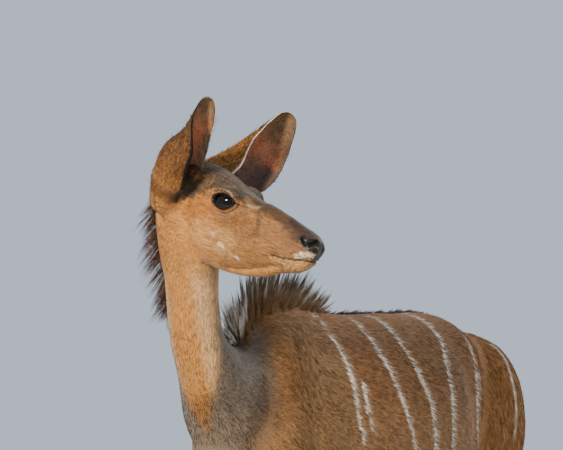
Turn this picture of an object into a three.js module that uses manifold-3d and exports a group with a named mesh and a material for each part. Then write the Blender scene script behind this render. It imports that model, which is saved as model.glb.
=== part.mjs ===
// A greater kudu cow, standing, with her head turned over her left shoulder: life size, in millimetres.
// +Z is up, the body faces -Y and the animal's left is +X. The floor is z = 0.
// The flesh is one union of lofts, parted by thin gaps into head, neck, torso and legs.
import * as THREE from "three";
import { LoftGeometry } from "three/addons/geometries/LoftGeometry.js";
import { mergeVertices } from "three/addons/utils/BufferGeometryUtils.js";
import Module from "manifold-3d";

const wasm = await Module();
wasm.setup();

// Driving dimensions
const GAP = 0.3; // what two touching pieces keep between them
const SEED = 7;
const HEAD_YAW = 90; // degrees that the head is turned to the animal's left
const HEAD_PITCH = 18; // degrees that the nose points below level
const CROWN = [83, -660, 1480]; // the top of the head between the ears
const EYE_RADIUS = 28;
const EYE_PLACE = [36, -84, -71]; // of the left eye's centre, in the head's own frame
const EYE_OPENING = [49, 31]; // length and height of the gap between the lids
const LID_THICKNESS = 3.5;
const EAR_LENGTH = 238;
const EAR_WALL = 4;
const EAR_ROOT = [46, 48, -88]; // of the left ear, in the head's own frame
const MOUTH_GROOVE = [2, 5]; // width and depth
const TOE = [27, 78, 54]; // width, length and height of one claw
const TOE_SPREAD = 15; // from the middle of the foot to the middle of a claw
const SHOULDER_ARCH = { ahead: -342, half: 96, spring: 930, rise: 130, inner: 52 };
const THIGH_ARCH = { ahead: 400, half: 158, spring: 925, rise: 150, inner: 42 };
const KNEE_CUT = 438;
const HOCK_CUT = 528;
const NAPE_LENGTH = 52; // longest hair of each mane
const WITHERS_LENGTH = 98;
const CREST_LENGTH = 84;
const TUFT_LENGTH = 120;
const NAPE_SPAN = [6.9, 3.7]; // places along the neck's stations
const WITHERS_SPAN = [2.2, 6.1]; // places along the torso's stations
const CREST_SPAN = [6.2, 12.2];
const TUFT_SPAN = [4.2, 6.4]; // places along the tail's stations
const CORE_SHARE = 0.4; // how far up the locks the ridge under them reaches
const LOCK_BEND = 0.22;
// Shares of a lock's length, with its width there
const LOCK_TAPER = [
  [0, 0.8],
  [0.35, 1],
  [0.72, 0.8],
  [1, 0.16],
];

const rad = THREE.MathUtils.degToRad;
const point = (p) => new THREE.Vector3(...p);

// Surfaces and solids

// A closed body through rings of points, flat at both ends and facing outward.
function skin(rings) {
  const centre = (ring) => ring.reduce((sum, spot) => sum.add(spot), point([0, 0, 0])).divideScalar(ring.length);
  const [first, second] = rings;
  const ahead = centre(second).sub(centre(first));
  const area = point([0, 0, 0]);
  first.forEach((spot, i) => area.add(spot.clone().cross(first[(i + 1) % first.length])));
  const ordered = area.dot(ahead) > 0 ? rings : rings.map((ring) => [...ring].reverse());
  return new LoftGeometry(ordered, { capStart: true, capEnd: true });
}

// The geometry as a solid, its faces turned outward.
function solidOf(geometry) {
  const bare = new THREE.BufferGeometry()
    .setAttribute("position", geometry.attributes.position)
    .setIndex(geometry.index);
  const merged = mergeVertices(bare, 1e-3);
  const triVerts = new Uint32Array(merged.index.array);
  const vertProperties = merged.attributes.position.array;
  const make = () => new wasm.Manifold(new wasm.Mesh({ numProp: 3, vertProperties, triVerts }));
  const made = make();
  if (made.volume() >= 0) return made;
  for (let i = 0; i < triVerts.length; i += 3)
    [triVerts[i + 1], triVerts[i + 2]] = [triVerts[i + 2], triVerts[i + 1]];
  return make();
}

function geometryOf(solid) {
  const mesh = solid.getMesh();
  const xyz = new Float32Array(mesh.numVert * 3);
  for (let i = 0; i < mesh.numVert; i++)
    xyz.set(mesh.vertProperties.subarray(i * mesh.numProp, i * mesh.numProp + 3), i * 3);
  return new THREE.BufferGeometry()
    .setAttribute("position", new THREE.BufferAttribute(xyz, 3))
    .setIndex(new THREE.BufferAttribute(mesh.triVerts, 1));
}

const joined = (solids) => solids.reduce((all, one) => all.add(one));
const largest = (solid) =>
  solid.decompose().reduce((best, one) => (one.volume() > best.volume() ? one : best));

// Values between the rows of a table, on a smooth curve through them.
function between(rows, place) {
  const last = rows.length - 1;
  const i = Math.min(Math.floor(place), last - 1);
  const t = place - i;
  const row = (k) => rows[Math.min(Math.max(k, 0), last)];
  return row(i).map((here, n) => {
    const next = row(i + 1)[n];
    const leaving = (next - row(i - 1)[n]) / 2;
    const arriving = (row(i + 2)[n] - here) / 2;
    return (
      here * (1 + 2 * t) * (1 - t) ** 2 +
      next * t * t * (3 - 2 * t) +
      leaving * t * (1 - t) ** 2 +
      arriving * t * t * (t - 1)
    );
  });
}

const signedPower = (v, n) => Math.sign(v) * Math.abs(v) ** n;

// Where a loft is at one place along its stations: its middle, its directions and its sizes.
function stationAt(stations, place) {
  const last = stations.length - 1;
  const row = between(stations, place);
  const ahead = point(between(stations, Math.min(place + 0.02, last)).slice(0, 3));
  const behind = point(between(stations, Math.max(place - 0.02, 0)).slice(0, 3));
  const along = ahead.sub(behind).normalize();
  const back = point(row.slice(3, 6));
  back.addScaledVector(along, -back.dot(along)).normalize();
  const side = back.clone().cross(along);
  return { middle: point(row.slice(0, 3)), along, back, side, sizes: row.slice(6) };
}

// A closed body along its stations. Each is a row of numbers: x, y, z of the middle, the direction of its
// back as x, y, z, then half width, height above and below the middle, squareness above and below
// (2 is an ellipse), and how much wider it is above.
function loft(stations, rings, sides, { grow = 0, swells = [], frame = null } = {}) {
  const sections = [];
  for (let k = 0; k < rings; k++) {
    const at = stationAt(stations, (k / (rings - 1)) * (stations.length - 1));
    const [wide, above, below, squareAbove, squareBelow, taper] = at.sizes;
    const ring = [];
    for (let j = 0; j < sides; j++) {
      const angle = (j / sides) * 2 * Math.PI;
      const upper = Math.sin(angle) > 0;
      const square = upper ? squareAbove : squareBelow;
      const out = signedPower(Math.cos(angle), 2 / square) * (wide + grow);
      const up = signedPower(Math.sin(angle), 2 / square);
      const tall = (upper ? above : below) + grow;
      const spot = at.middle.clone().addScaledVector(at.side, out * (1 + taper * up));
      spot.addScaledVector(at.back, up * tall);
      for (const [x, y, z, reach, lift] of swells) {
        const away = spot.distanceTo(point([x, y, z])) / reach;
        const outward = spot.clone().sub(at.middle).normalize();
        spot.addScaledVector(outward, lift * Math.exp(-away * away));
      }
      ring.push(frame ? spot.applyMatrix4(frame) : spot);
    }
    sections.push(ring);
  }
  return solidOf(skin(sections));
}

// Torso, from the breast to the buttocks: y, top, bottom, half width, then squareness above and below
// and how much wider it is above.
const TORSO = [
  [-512, 1000, 850, 30, 2.0, 2.0, 0.0],
  [-492, 1062, 788, 56, 2.0, 2.0, 0.0],
  [-452, 1128, 716, 82, 2.0, 2.0, -0.04],
  [-395, 1162, 668, 110, 1.9, 2.1, -0.08],
  [-310, 1180, 650, 143, 1.8, 2.1, -0.12],
  [-220, 1177, 648, 164, 1.8, 2.1, -0.12],
  [-110, 1163, 650, 184, 1.9, 2.1, -0.07],
  [0, 1156, 656, 197, 2.0, 2.1, -0.03],
  [110, 1157, 668, 200, 2.1, 2.1, 0.0],
  [220, 1160, 694, 189, 2.2, 2.1, 0.03],
  [320, 1164, 738, 170, 2.2, 2.1, 0.05],
  [400, 1156, 786, 152, 2.1, 2.0, 0.05],
  [458, 1132, 836, 131, 2.0, 2.0, 0.02],
  [500, 1092, 890, 100, 2.0, 2.0, 0.0],
  [528, 1030, 955, 44, 2.0, 2.0, 0.0],
];
const TORSO_SWELLS = [
  [95, -320, 1125, 70, 8], // top of each shoulder blade
  [-95, -320, 1125, 70, 8],
  [112, 300, 1122, 60, 14], // point of each hip
  [-112, 300, 1122, 60, 14],
];
const torsoStations = TORSO.map(([y, top, bottom, wide, above, below, taper]) => {
  const middle = bottom + (top - bottom) * 0.47;
  return [0, y, middle, 0, 0, 1, wide, top - middle, middle - bottom, above, below, taper];
});

// Neck: x, y, z of the middle, degrees that the throat is turned to the left, half width, depth to the
// nape and depth to the throat.
const NECK = [
  [0, -395, 930, 0, 100, 165, 140],
  [0, -465, 985, 8, 97, 126, 108],
  [0, -532, 1045, 25, 70, 100, 86],
  [0, -577, 1110, 50, 56, 80, 64],
  [4, -600, 1175, 74, 50, 66, 58],
  [12, -620, 1235, 86, 50, 64, 58],
  [20, -642, 1300, 90, 54, 72, 64],
  [32, -656, 1365, 90, 53, 80, 62],
  [52, -660, 1420, 90, 44, 62, 40],
];
const neckStations = NECK.map(([x, y, z, turn, wide, nape, throat]) => {
  const back = [-Math.sin(rad(turn)), Math.cos(rad(turn)), 0];
  return [x, y, z, ...back, wide, nape, throat, 2, 2.1, 0];
});

// The head's own frame: its left is +x, the nose points to -y and the crown is its origin.
const headFrame = new THREE.Matrix4()
  .makeTranslation(...CROWN)
  .multiply(new THREE.Matrix4().makeRotationZ(rad(HEAD_YAW)))
  .multiply(new THREE.Matrix4().makeRotationX(rad(HEAD_PITCH)));
const headPoint = (x, y, z) => point([x, y, z]).applyMatrix4(headFrame).toArray();

// Head, from the back of the skull to the nose: distance ahead of the crown, top, bottom, half width,
// squareness above and below and how much wider it is above.
const HEAD = [
  [-62, -50, -104, 24, 2.0, 2.0, 0.0],
  [-50, -24, -136, 42, 2.0, 2.0, 0.0],
  [-20, -5, -168, 52, 2.0, 2.0, 0.04],
  [20, 2, -192, 56, 2.2, 1.9, 0.08],
  [60, -4, -208, 58, 2.3, 1.8, 0.1],
  [100, -13, -216, 54, 2.2, 1.8, 0.12],
  [140, -30, -212, 45, 2.1, 1.8, 0.12],
  [180, -47, -200, 38, 2.0, 1.8, 0.08],
  [215, -61, -183, 34, 2.0, 1.9, 0.04],
  [245, -71, -166, 32, 2.0, 2.1, 0.02],
  [268, -79, -150, 29, 2.1, 2.2, 0.02],
  [285, -87, -137, 24, 2.1, 2.2, 0.04],
  [295, -98, -126, 13, 2.0, 2.0, 0.0],
];
const HEAD_SWELLS = [
  [52, -76, -48, 34, 10], // brow over each eye
  [-52, -76, -48, 34, 10],
  [52, -45, -140, 50, 7], // cheek muscle
  [-52, -45, -140, 50, 7],
  [26, -272, -96, 16, 5], // wing of each nostril
  [-26, -272, -96, 16, 5],
];
// The line between the lips, from the front to the corner: distance ahead and height.
const MOUTH = [
  [300, -127],
  [278, -131],
  [250, -136],
  [222, -140],
  [206, -139],
];
const headStations = HEAD.map(([ahead, top, bottom, wide, above, below, taper]) => {
  const middle = bottom + (top - bottom) * 0.52;
  return [0, -ahead, middle, 0, 0, 1, wide, top - middle, middle - bottom, above, below, taper];
});

// Legs, from the top: out, y, z, half width, depth to the front and to the back, squareness.
const FORELEG = [
  [62, -300, 1095, 26, 46, 50, 2.0],
  [76, -324, 1010, 39, 70, 84, 2.0],
  [84, -345, 915, 45, 66, 98, 2.1],
  [88, -362, 820, 45, 62, 92, 2.0],
  [90, -354, 735, 40, 54, 68, 2.0],
  [90, -348, 650, 34, 41, 46, 2.0],
  [90, -346, 550, 26, 30, 32, 2.0],
  [88, -346, 455, 20, 24, 23, 2.0],
  [87, -350, 405, 25, 27, 24, 2.0],
  [86, -347, 352, 18, 19, 20, 2.0],
  [85, -344, 260, 14, 15, 17, 2.0],
  [85, -344, 160, 14, 15, 17, 2.0],
  [85, -347, 115, 20, 19, 24, 2.0],
  [85, -362, 78, 17, 17, 19, 2.0],
  [85, -374, 48, 22, 24, 25, 2.0],
  [85, -378, 26, 20, 22, 24, 2.0],
];
const HINDLEG = [
  [66, 372, 1088, 28, 72, 60, 2.0],
  [98, 406, 1020, 58, 124, 128, 2.3],
  [111, 422, 930, 64, 148, 148, 2.4],
  [110, 404, 845, 61, 140, 144, 2.3],
  [101, 376, 765, 48, 108, 108, 2.1],
  [92, 392, 690, 37, 70, 70, 2.0],
  [88, 426, 615, 28, 45, 47, 2.0],
  [85, 458, 545, 22, 30, 35, 2.0],
  [84, 480, 488, 23, 27, 37, 2.0],
  [83, 482, 435, 19, 22, 25, 2.0],
  [83, 475, 355, 15, 17, 18, 2.0],
  [82, 468, 250, 15, 16, 17, 2.0],
  [82, 462, 155, 15, 16, 18, 2.0],
  [82, 460, 112, 21, 20, 24, 2.0],
  [82, 448, 77, 17, 17, 19, 2.0],
  [82, 436, 48, 22, 24, 25, 2.0],
  [82, 432, 26, 20, 22, 24, 2.0],
];
const STRIDE_TOP = 850; // above it nothing is moved by the stride
const LEGS = [
  { name: "foreleg_left", hoof: "hoof_front_left", rows: FORELEG, side: 1, stride: -22 },
  { name: "foreleg_right", hoof: "hoof_front_right", rows: FORELEG, side: -1, stride: 26 },
  { name: "hindleg_left", hoof: "hoof_hind_left", rows: HINDLEG, side: 1, stride: 30 },
  { name: "hindleg_right", hoof: "hoof_hind_right", rows: HINDLEG, side: -1, stride: -24 },
];

// The stations of one leg, its lower end moved along the body by the stride.
function legStations({ rows, side, stride }) {
  const foot = rows[rows.length - 1][2];
  return rows.map(([out, y, z, wide, front, back, square]) => {
    const share = Math.min(1, Math.max(0, (STRIDE_TOP - z) / (STRIDE_TOP - foot)));
    return [side * out, y + stride * share, z, 0, -1, 0, wide, front, back, square, square, 0];
  });
}

// A pair of small claws behind the pastern.
function dewclaws({ rows, side, stride }) {
  const [out, y] = rows[rows.length - 3];
  return [-1, 1].map((way) => {
    const claw = new THREE.SphereGeometry(1, 7, 5).scale(7, 8, 12).rotateX(rad(25));
    return solidOf(claw.translate(side * out + way * 12, y + stride + 22, 88));
  });
}

// One claw of a foot, flat on the floor, blunt behind and pointed in front. The cleft side is flatter.
function claw({ rows, side, stride }, way, grow = 0) {
  const [out, y] = rows[rows.length - 1];
  const [width, length, height] = TOE.map((size) => size + 2 * grow);
  const levels = [
    [0, 0.97, 0],
    [0.12, 1, 0.02],
    [0.45, 0.84, 0.1],
    [0.78, 0.72, 0.17],
    [1, 0.55, 0.2],
  ];
  const sections = levels.map(([share, size, setBack]) => {
    const ring = [];
    for (let j = 0; j < 12; j++) {
      const angle = (j / 12) * 2 * Math.PI;
      const ahead = Math.cos(angle);
      const outward = Math.sin(angle) * (Math.sin(angle) > 0 ? 1 : 0.8);
      const narrow = ahead > 0 ? 1 - 0.35 * ahead * ahead : 1;
      ring.push(
        point([
          side * out + way * (TOE_SPREAD + (outward * narrow * width * size) / 2),
          y + stride - 4 + length * setBack - (ahead * length * size) / 2,
          height * share * (share < 1 ? 1 : 1 + 0.1 * ahead),
        ]),
      );
    }
    return ring;
  });
  return solidOf(skin(sections));
}

// Tail, hanging from its root: x, y, z, half width, depth to the front and to the back.
const TAIL = [
  [0, 460, 1058, 24, 22, 22],
  [0, 510, 1046, 25, 20, 22],
  [0, 545, 1002, 22, 16, 17],
  [0, 560, 970, 19, 13, 14],
  [0, 562, 890, 19, 12, 12],
  [0, 560, 800, 17, 11, 11],
  [0, 556, 740, 11, 9, 9],
  [0, 552, 690, 6, 5, 5],
];
const tailStations = TAIL.map(([x, y, z, wide, front, back]) => {
  return [x, y, z, 0, 1, 0.3, wide, back, front, 2, 2, 0];
});

// Ear: share of its length, half width when laid flat, and degrees that each half is rolled.
const EAR = [
  [0.0, 89, 150],
  [0.1, 110, 150],
  [0.22, 116, 145],
  [0.36, 111, 136],
  [0.5, 102, 124],
  [0.64, 84, 110],
  [0.77, 64, 96],
  [0.88, 43, 82],
  [0.95, 26, 72],
  [1.0, 12, 60],
];
// The stalk under the cup: share of the ear's length and radius.
const EAR_STALK = [
  [-0.12, 24],
  [-0.03, 34],
  [0.05, 37],
  [0.12, 30],
];
// Each ear's direction, the way its cup faces, how far its middle hangs outward and how tightly it is rolled.
const EARS = {
  ear_right: { side: -1, axis: [0.59, -0.34, 0.733], opening: [1, 0, 0], bulge: 7, cupped: 1 },
  ear_left: { side: 1, axis: [0.69, 0.4, 0.6], opening: [0.93, -0.32, -0.1], bulge: 30, cupped: 0.86 },
};

// A thin cup, rolled round its length and open to one side, on a short stalk.
function ear({ side, axis, opening, bulge, cupped }) {
  const along = point(axis).normalize();
  const open = point(opening);
  open.addScaledVector(along, -open.dot(along)).normalize();
  const across = along.clone().cross(open);
  const root = point(headPoint(side * EAR_ROOT[0], EAR_ROOT[1], EAR_ROOT[2]));
  const steps = 8;
  const rings = 11;
  const sections = [];
  for (let k = 0; k < rings; k++) {
    const [share, half, rolled] = between(EAR, (k / (rings - 1)) * (EAR.length - 1));
    const roll = rad(rolled * cupped);
    const radius = half / roll;
    const wall = EAR_WALL * (1 - 0.5 * share);
    const base = root.clone().addScaledVector(along, share * EAR_LENGTH);
    base.addScaledVector(open, 16 * share * share - radius);
    base.addScaledVector(across, side * bulge * Math.sin(Math.PI * share));
    const spot = (angle, r) =>
      base
        .clone()
        .addScaledVector(open, radius - Math.cos(angle) * r)
        .addScaledVector(across, Math.sin(angle) * r);
    const ring = [];
    for (let j = 0; j <= steps; j++) ring.push(spot(roll * ((2 * j) / steps - 1), radius + wall / 2));
    for (let j = steps; j >= 0; j--) ring.push(spot(roll * ((2 * j) / steps - 1), radius - wall / 2));
    sections.push(ring);
  }
  const stalk = EAR_STALK.map(([share, size]) => {
    const base = root.clone().addScaledVector(along, share * EAR_LENGTH);
    return [...base.toArray(), ...open.toArray(), size, size, size, 2, 2, 0];
  });
  return solidOf(skin(sections)).add(loft(stalk, 4, 10));
}

// Hair

// Repeatable random numbers between -1 and 1.
let state = SEED;
function random() {
  state = (state * 1664525 + 1013904223) % 4294967296;
  return state / 2147483648 - 1;
}

// One flat lock that tapers and bends along its lie. The root is sunk by the given depth.
function lock({ root, way, lie, flat, length, width, thick, sunk }) {
  const across = point(flat);
  const sections = LOCK_TAPER.map(([share, wide]) => {
    const reach = share * (length + sunk) - sunk;
    const bend = Math.max(0, share) ** 2 * length * LOCK_BEND;
    const middle = root.clone().addScaledVector(way, reach).addScaledVector(lie, bend);
    const face = way.clone().cross(across).normalize();
    const side = face.clone().cross(way).normalize();
    const at = (u, v) =>
      middle
        .clone()
        .addScaledVector(side, (u * width * wide) / 2)
        .addScaledVector(face, (v * thick * wide) / 2);
    return [at(-1, 0), at(0, -1), at(1, 0), at(0, 1)];
  });
  return solidOf(skin(sections));
}

// A low ridge that reaches half way up the locks, so that no gap shows at their roots.
function core(rows, side, thickness) {
  const sections = rows.map(({ root, way, length }) => {
    const at = (out, up) => root.clone().addScaledVector(point(side), out).addScaledVector(way, up);
    return [at(-thickness, -16), at(-2, length * CORE_SHARE), at(2, length * CORE_SHARE), at(thickness, -16)];
  });
  return solidOf(skin(sections));
}

// Assembly

const group = new THREE.Group();

function piece(name, solid, colour, roughness) {
  const material = new THREE.MeshStandardMaterial({ color: colour, roughness, metalness: 0 });
  const mesh = new THREE.Mesh(geometryOf(largest(solid)), material);
  mesh.name = name;
  group.add(mesh);
}

const sphere = (radius, across, down) => new THREE.SphereGeometry(radius, across, down);
const inHead = (geometry) => solidOf(geometry.applyMatrix4(headFrame));

// A prism with an outline seen from the side, from one distance out to another.
function sidePrism(outline, from, to, ahead = 1) {
  const settings = { depth: to - from, bevelEnabled: false, curveSegments: 9 };
  const solid = new THREE.ExtrudeGeometry(outline, settings);
  const turned = new THREE.Matrix4().makeBasis(point([0, ahead, 0]), point([0, 0, 1]), point([1, 0, 0]));
  return solid.applyMatrix4(turned).translate(from, 0, 0);
}

// The gap between the lids, pointed at both corners.
function lidOpening(side) {
  const [length, height] = EYE_OPENING;
  const outline = new THREE.Shape();
  outline.moveTo(-length / 2, 2);
  outline.bezierCurveTo(-length / 3, height * 0.62, length / 6, height * 0.72, length / 2, -3);
  outline.bezierCurveTo(length / 6, -height * 0.66, -length / 3, -height * 0.7, -length / 2, 2);
  const [out, back, up] = EYE_PLACE;
  const ends = [side * (out + 4), side * (out + 60)].sort((a, b) => a - b);
  return inHead(sidePrism(outline, ...ends, -1).translate(0, back, up));
}

// A thin sheet along the line of the lips, cut back to the depth of the groove.
function mouthGroove() {
  const [width, depth] = MOUTH_GROOVE;
  const outline = new THREE.Shape();
  MOUTH.forEach(([ahead, up], i) => outline[i ? "lineTo" : "moveTo"](ahead, up + width / 2));
  [...MOUTH].reverse().forEach(([ahead, up]) => outline.lineTo(ahead, up - width / 2));
  const sheet = inHead(sidePrism(outline, -60, 60, -1));
  return sheet.subtract(loft(headStations, 22, 24, { grow: -depth, frame: headFrame }));
}

// An arch seen from the side, round the part of a leg that lies on the trunk.
function arch({ ahead, half, spring, rise, inner }, side, grow) {
  const outline = new THREE.Shape();
  const wide = half + grow;
  outline.moveTo(ahead - wide, -50);
  outline.lineTo(ahead - wide, spring);
  outline.absellipse(ahead, spring, wide, rise + grow, Math.PI, 0, true);
  outline.lineTo(ahead + wide, -50);
  const ends = [side * (inner - grow), side * 320].sort((a, b) => a - b);
  return solidOf(sidePrism(outline, ...ends));
}

// Two halves of a solid with a gap between them. The first lies where the normal points.
function parted(solid, normal, through) {
  const way = point(normal).normalize();
  const offset = way.dot(point(through));
  const [x, y, z] = way.toArray();
  return [
    solid.trimByPlane([x, y, z], offset + GAP / 2),
    solid.trimByPlane([-x, -y, -z], -offset + GAP / 2),
  ];
}

// Head: the skull and muzzle, lids, sockets, nostrils and the line of the mouth.
const SIDES = [1, -1];
const eyeball = (side, radius) => {
  const [out, back, up] = EYE_PLACE;
  return inHead(sphere(radius, 14, 9).translate(side * out, back, up));
};
const nostril = (side) => {
  const pit = sphere(1, 10, 8).scale(5.5, 11, 6).rotateZ(rad(side * 28)).rotateX(rad(-18));
  return inHead(pit.translate(side * 24, -281, -97));
};
let head = loft(headStations, 22, 24, { swells: HEAD_SWELLS, frame: headFrame });
head = head.add(joined(SIDES.map((side) => eyeball(side, EYE_RADIUS + LID_THICKNESS))));
head = head.subtract(joined(SIDES.map(lidOpening)));
head = head.subtract(joined(SIDES.map((side) => eyeball(side, EYE_RADIUS + GAP))));
head = head.subtract(joined(SIDES.map(nostril))).subtract(mouthGroove());
const headRoom = joined([
  loft(headStations, 22, 24, { swells: HEAD_SWELLS, frame: headFrame, grow: GAP }),
  loft(neckStations, 18, 20, { grow: GAP }),
]);

// Manes: the nape, the fan over the withers and the short crest along the back.
const DOWN = point([0, 0, -1]);
const REAR = point([0, 1, 0]);
const ramp = (count) => Array.from({ length: count }, (_, i) => i / (count - 1));

// A root on the nape with the hair's direction there.
function napeRow(t) {
  const at = stationAt(neckStations, NAPE_SPAN[0] + (NAPE_SPAN[1] - NAPE_SPAN[0]) * t);
  const root = at.middle.clone().addScaledVector(at.back, at.sizes[1]);
  const way = at.back.clone().multiplyScalar(0.66).add(point([0, 0, -0.75])).normalize();
  const length = NAPE_LENGTH * (0.35 + 0.65 * Math.sin(Math.PI * (0.12 + 0.78 * t)));
  return { root, way, side: at.side, length };
}

// A root on the line of the back. The hair leans toward the tail from square to the surface.
function backRow(place, lean, length) {
  const [y, top] = between(TORSO, place);
  const [behind, topBehind] = between(TORSO, place + 0.05);
  const slope = Math.atan2(top - topBehind, behind - y) + rad(lean);
  const way = point([0, Math.sin(slope), Math.cos(slope)]);
  return { root: point([0, y, top]), way, side: point([1, 0, 0]), length };
}
const withersRow = (t) =>
  backRow(
    WITHERS_SPAN[0] + (WITHERS_SPAN[1] - WITHERS_SPAN[0]) * t,
    -38 + 78 * t,
    WITHERS_LENGTH * (0.3 + 0.7 * Math.sin(Math.PI * (0.1 + 0.8 * t))),
  );
const crestRow = (t) =>
  backRow(CREST_SPAN[0] + (CREST_SPAN[1] - CREST_SPAN[0]) * t, 78, CREST_LENGTH * (1 - 0.2 * t));

// Locks in a few files beside a line of roots, each turned and sized a little differently.
function locks(rowAt, count, files, spread, size, lie, flat) {
  const made = [];
  for (let file = 0; file < files; file++) {
    const beside = files > 1 ? (2 * file) / (files - 1) - 1 : 0;
    for (let i = 0; i < count; i++) {
      const t = Math.min(1, Math.max(0, (i + 0.5 + 0.35 * random() + (file % 2) * 0.5) / (count + 0.5)));
      const { root, way, side, length } = rowAt(t);
      const out = beside * spread;
      root.addScaledVector(side, out).addScaledVector(way, -Math.abs(out) * 0.12);
      way.addScaledVector(side, beside * 0.3 + 0.14 * random()).normalize();
      made.push(
        lock({
          root,
          way,
          lie,
          flat,
          length: length * (1 - 0.14 * Math.abs(beside) + 0.13 * random()),
          width: size[0] * (1 + 0.2 * random()),
          thick: size[1],
          sunk: size[2],
        }),
      );
    }
  }
  return made;
}

const manes = [
  core(ramp(8).map(napeRow), [0, 1, 0], 8),
  core(ramp(9).map(withersRow), [1, 0, 0], 16),
  ...locks(napeRow, 8, 3, 11, [23, 6, 14], DOWN, [1, 0, 1]),
  ...locks(withersRow, 10, 3, 15, [42, 7, 18], REAR, [0, 1, 0]),
  ...locks(crestRow, 10, 2, 5, [19, 8, 10], DOWN, [0, 0, 1]),
];

// The whole animal, then its pieces.
const torso = loft(torsoStations, 26, 24, { swells: TORSO_SWELLS });
const neck = loft(neckStations, 18, 20);
const legs = LEGS.map((leg) => loft(legStations(leg), 20, 10));
const dews = LEGS.flatMap((leg) => dewclaws(leg));
const whole = joined([torso, neck, head, ...legs, ...dews, ...manes]);

const [front, trunk] = parted(whole, [0, -0.946, 0.324], [0, -500, 1140]);
const [headPiece, neckPiece] = parted(front, [0.762, 0, 0.648], [35, -660, 1290]);
const archOf = (leg) => (leg.rows === FORELEG ? SHOULDER_ARCH : THIGH_ARCH);
const archways = LEGS.map((leg) => arch(archOf(leg), leg.side, GAP));
const torsoPiece = trunk.subtract(joined(archways));

const COAT = 0xa07c55;
const HORN = 0x2b2622;
piece("head", headPiece, COAT, 0.85);
piece("neck", neckPiece, 0xb08a60, 0.9);
piece("torso", torsoPiece, COAT, 0.9);
for (const side of SIDES) piece(side > 0 ? "eye_left" : "eye_right", eyeball(side, EYE_RADIUS), 0x120c08, 0.1);
for (const [name, setting] of Object.entries(EARS)) {
  piece(name, ear(setting).subtract(headRoom), 0xa88763, 0.9);
}
const seat = joined([
  loft(torsoStations, 26, 24, { swells: TORSO_SWELLS, grow: GAP }),
  ...LEGS.map((leg) => loft(legStations(leg), 20, 10, { grow: GAP })),
]);
const tuftRow = (t) => {
  const at = stationAt(tailStations, TUFT_SPAN[0] + (TUFT_SPAN[1] - TUFT_SPAN[0]) * t);
  const length = TUFT_LENGTH * (0.75 - 0.3 * t);
  return { root: at.middle, way: point([0, 0.08, -1]).normalize(), side: point([1, 0, 0]), length };
};
const tuft = locks(tuftRow, 4, 3, 10, [26, 9, 14], REAR, [1, 0, 0]);
piece("tail", joined([loft(tailStations, 12, 8), ...tuft]).subtract(seat), 0x8a6a48, 0.9);

for (const leg of LEGS) {
  const hooves = [1, -1].map((way) => claw(leg, way));
  const room = joined([1, -1].map((way) => claw(leg, way, GAP)));
  const limb = trunk.intersect(arch(archOf(leg), leg.side, 0)).subtract(room);
  const cut = leg.rows === FORELEG ? KNEE_CUT : HOCK_CUT;
  const [upper, lower] = parted(limb, [0, 0, 1], [0, 0, cut]);
  piece(`${leg.name}_upper`, upper, COAT, 0.9);
  piece(`${leg.name}_lower`, lower, 0xb59a76, 0.9);
  piece(`${leg.hoof}_outer`, hooves[0], HORN, 0.5);
  piece(`${leg.hoof}_inner`, hooves[1], HORN, 0.5);
}

// The origin is the middle of the footprint, on the floor.
const box = new THREE.Box3().setFromObject(group);
const middle = box.getCenter(new THREE.Vector3());
for (const mesh of group.children) mesh.geometry.translate(-middle.x, -middle.y, -box.min.z);

export default group;
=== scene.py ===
# %% [markdown]
# # A greater kudu cow
# We dress the plain solids of a standing kudu cow that looks back over her left shoulder.
# The solids give the places and sizes. Blender gives her one smooth skin, a short lying coat,
# a mane, eyes, ears and claws. The camera stands where the photographer stood.

import math

import bmesh
import bpy
import numpy as np
from mathutils import Matrix, Vector


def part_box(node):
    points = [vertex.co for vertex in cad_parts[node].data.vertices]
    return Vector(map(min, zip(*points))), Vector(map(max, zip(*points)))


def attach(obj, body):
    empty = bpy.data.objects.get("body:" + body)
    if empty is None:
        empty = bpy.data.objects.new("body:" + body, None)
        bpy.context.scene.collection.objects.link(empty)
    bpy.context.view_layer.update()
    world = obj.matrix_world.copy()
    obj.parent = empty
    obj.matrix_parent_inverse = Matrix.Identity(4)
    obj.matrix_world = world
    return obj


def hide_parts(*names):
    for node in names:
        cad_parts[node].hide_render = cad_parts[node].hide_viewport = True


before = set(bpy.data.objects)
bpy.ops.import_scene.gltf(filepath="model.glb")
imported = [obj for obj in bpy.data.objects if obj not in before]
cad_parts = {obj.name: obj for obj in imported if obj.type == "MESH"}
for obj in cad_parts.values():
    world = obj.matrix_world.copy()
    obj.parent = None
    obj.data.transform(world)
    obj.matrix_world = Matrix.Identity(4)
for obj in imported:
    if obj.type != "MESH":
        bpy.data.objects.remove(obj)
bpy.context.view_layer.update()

# %% [markdown]
# ## One set of sizes
# All sizes are in millimetres, in the animal's own axes: her body faces -y, her left is +x and the
# floor is z = 0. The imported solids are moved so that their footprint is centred. The right eye
# tells us by how much, because we know where its centre lies in the animal's own axes.

# %% Places that everything hangs on
MM = 0.001
SEED = 11
COAT_DEPTH = 3.0
HEAD_PITCH = 18
CROWN = np.array([83.0, -660.0, 1480.0])
EYE_RADIUS = 28.0
EYE_PLACE = np.array([84.0, 36.0, -71.0])

pitch = math.radians(HEAD_PITCH)
# Rows: ahead towards the nose, out to the head's left, and up
HEAD_AXES = np.array(
    [
        [math.cos(pitch), 0, -math.sin(pitch)],
        [0, 1, 0],
        [math.sin(pitch), 0, math.cos(pitch)],
    ]
)


def to_head(points):
    """Distance ahead of the crown, out to the left and up, in the head's own axes."""
    return (points - CROWN) @ HEAD_AXES.T


def from_head(points):
    return np.asarray(points, float) @ HEAD_AXES + CROWN


low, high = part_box("eye_right")
eye_found = (np.array(low) + np.array(high)) / 2 / MM
eye_known = from_head(EYE_PLACE * [1, -1, 1])
SHIFT = eye_found - eye_known
print("the footprint moves the animal by", SHIFT.round(1), "mm")


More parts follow.
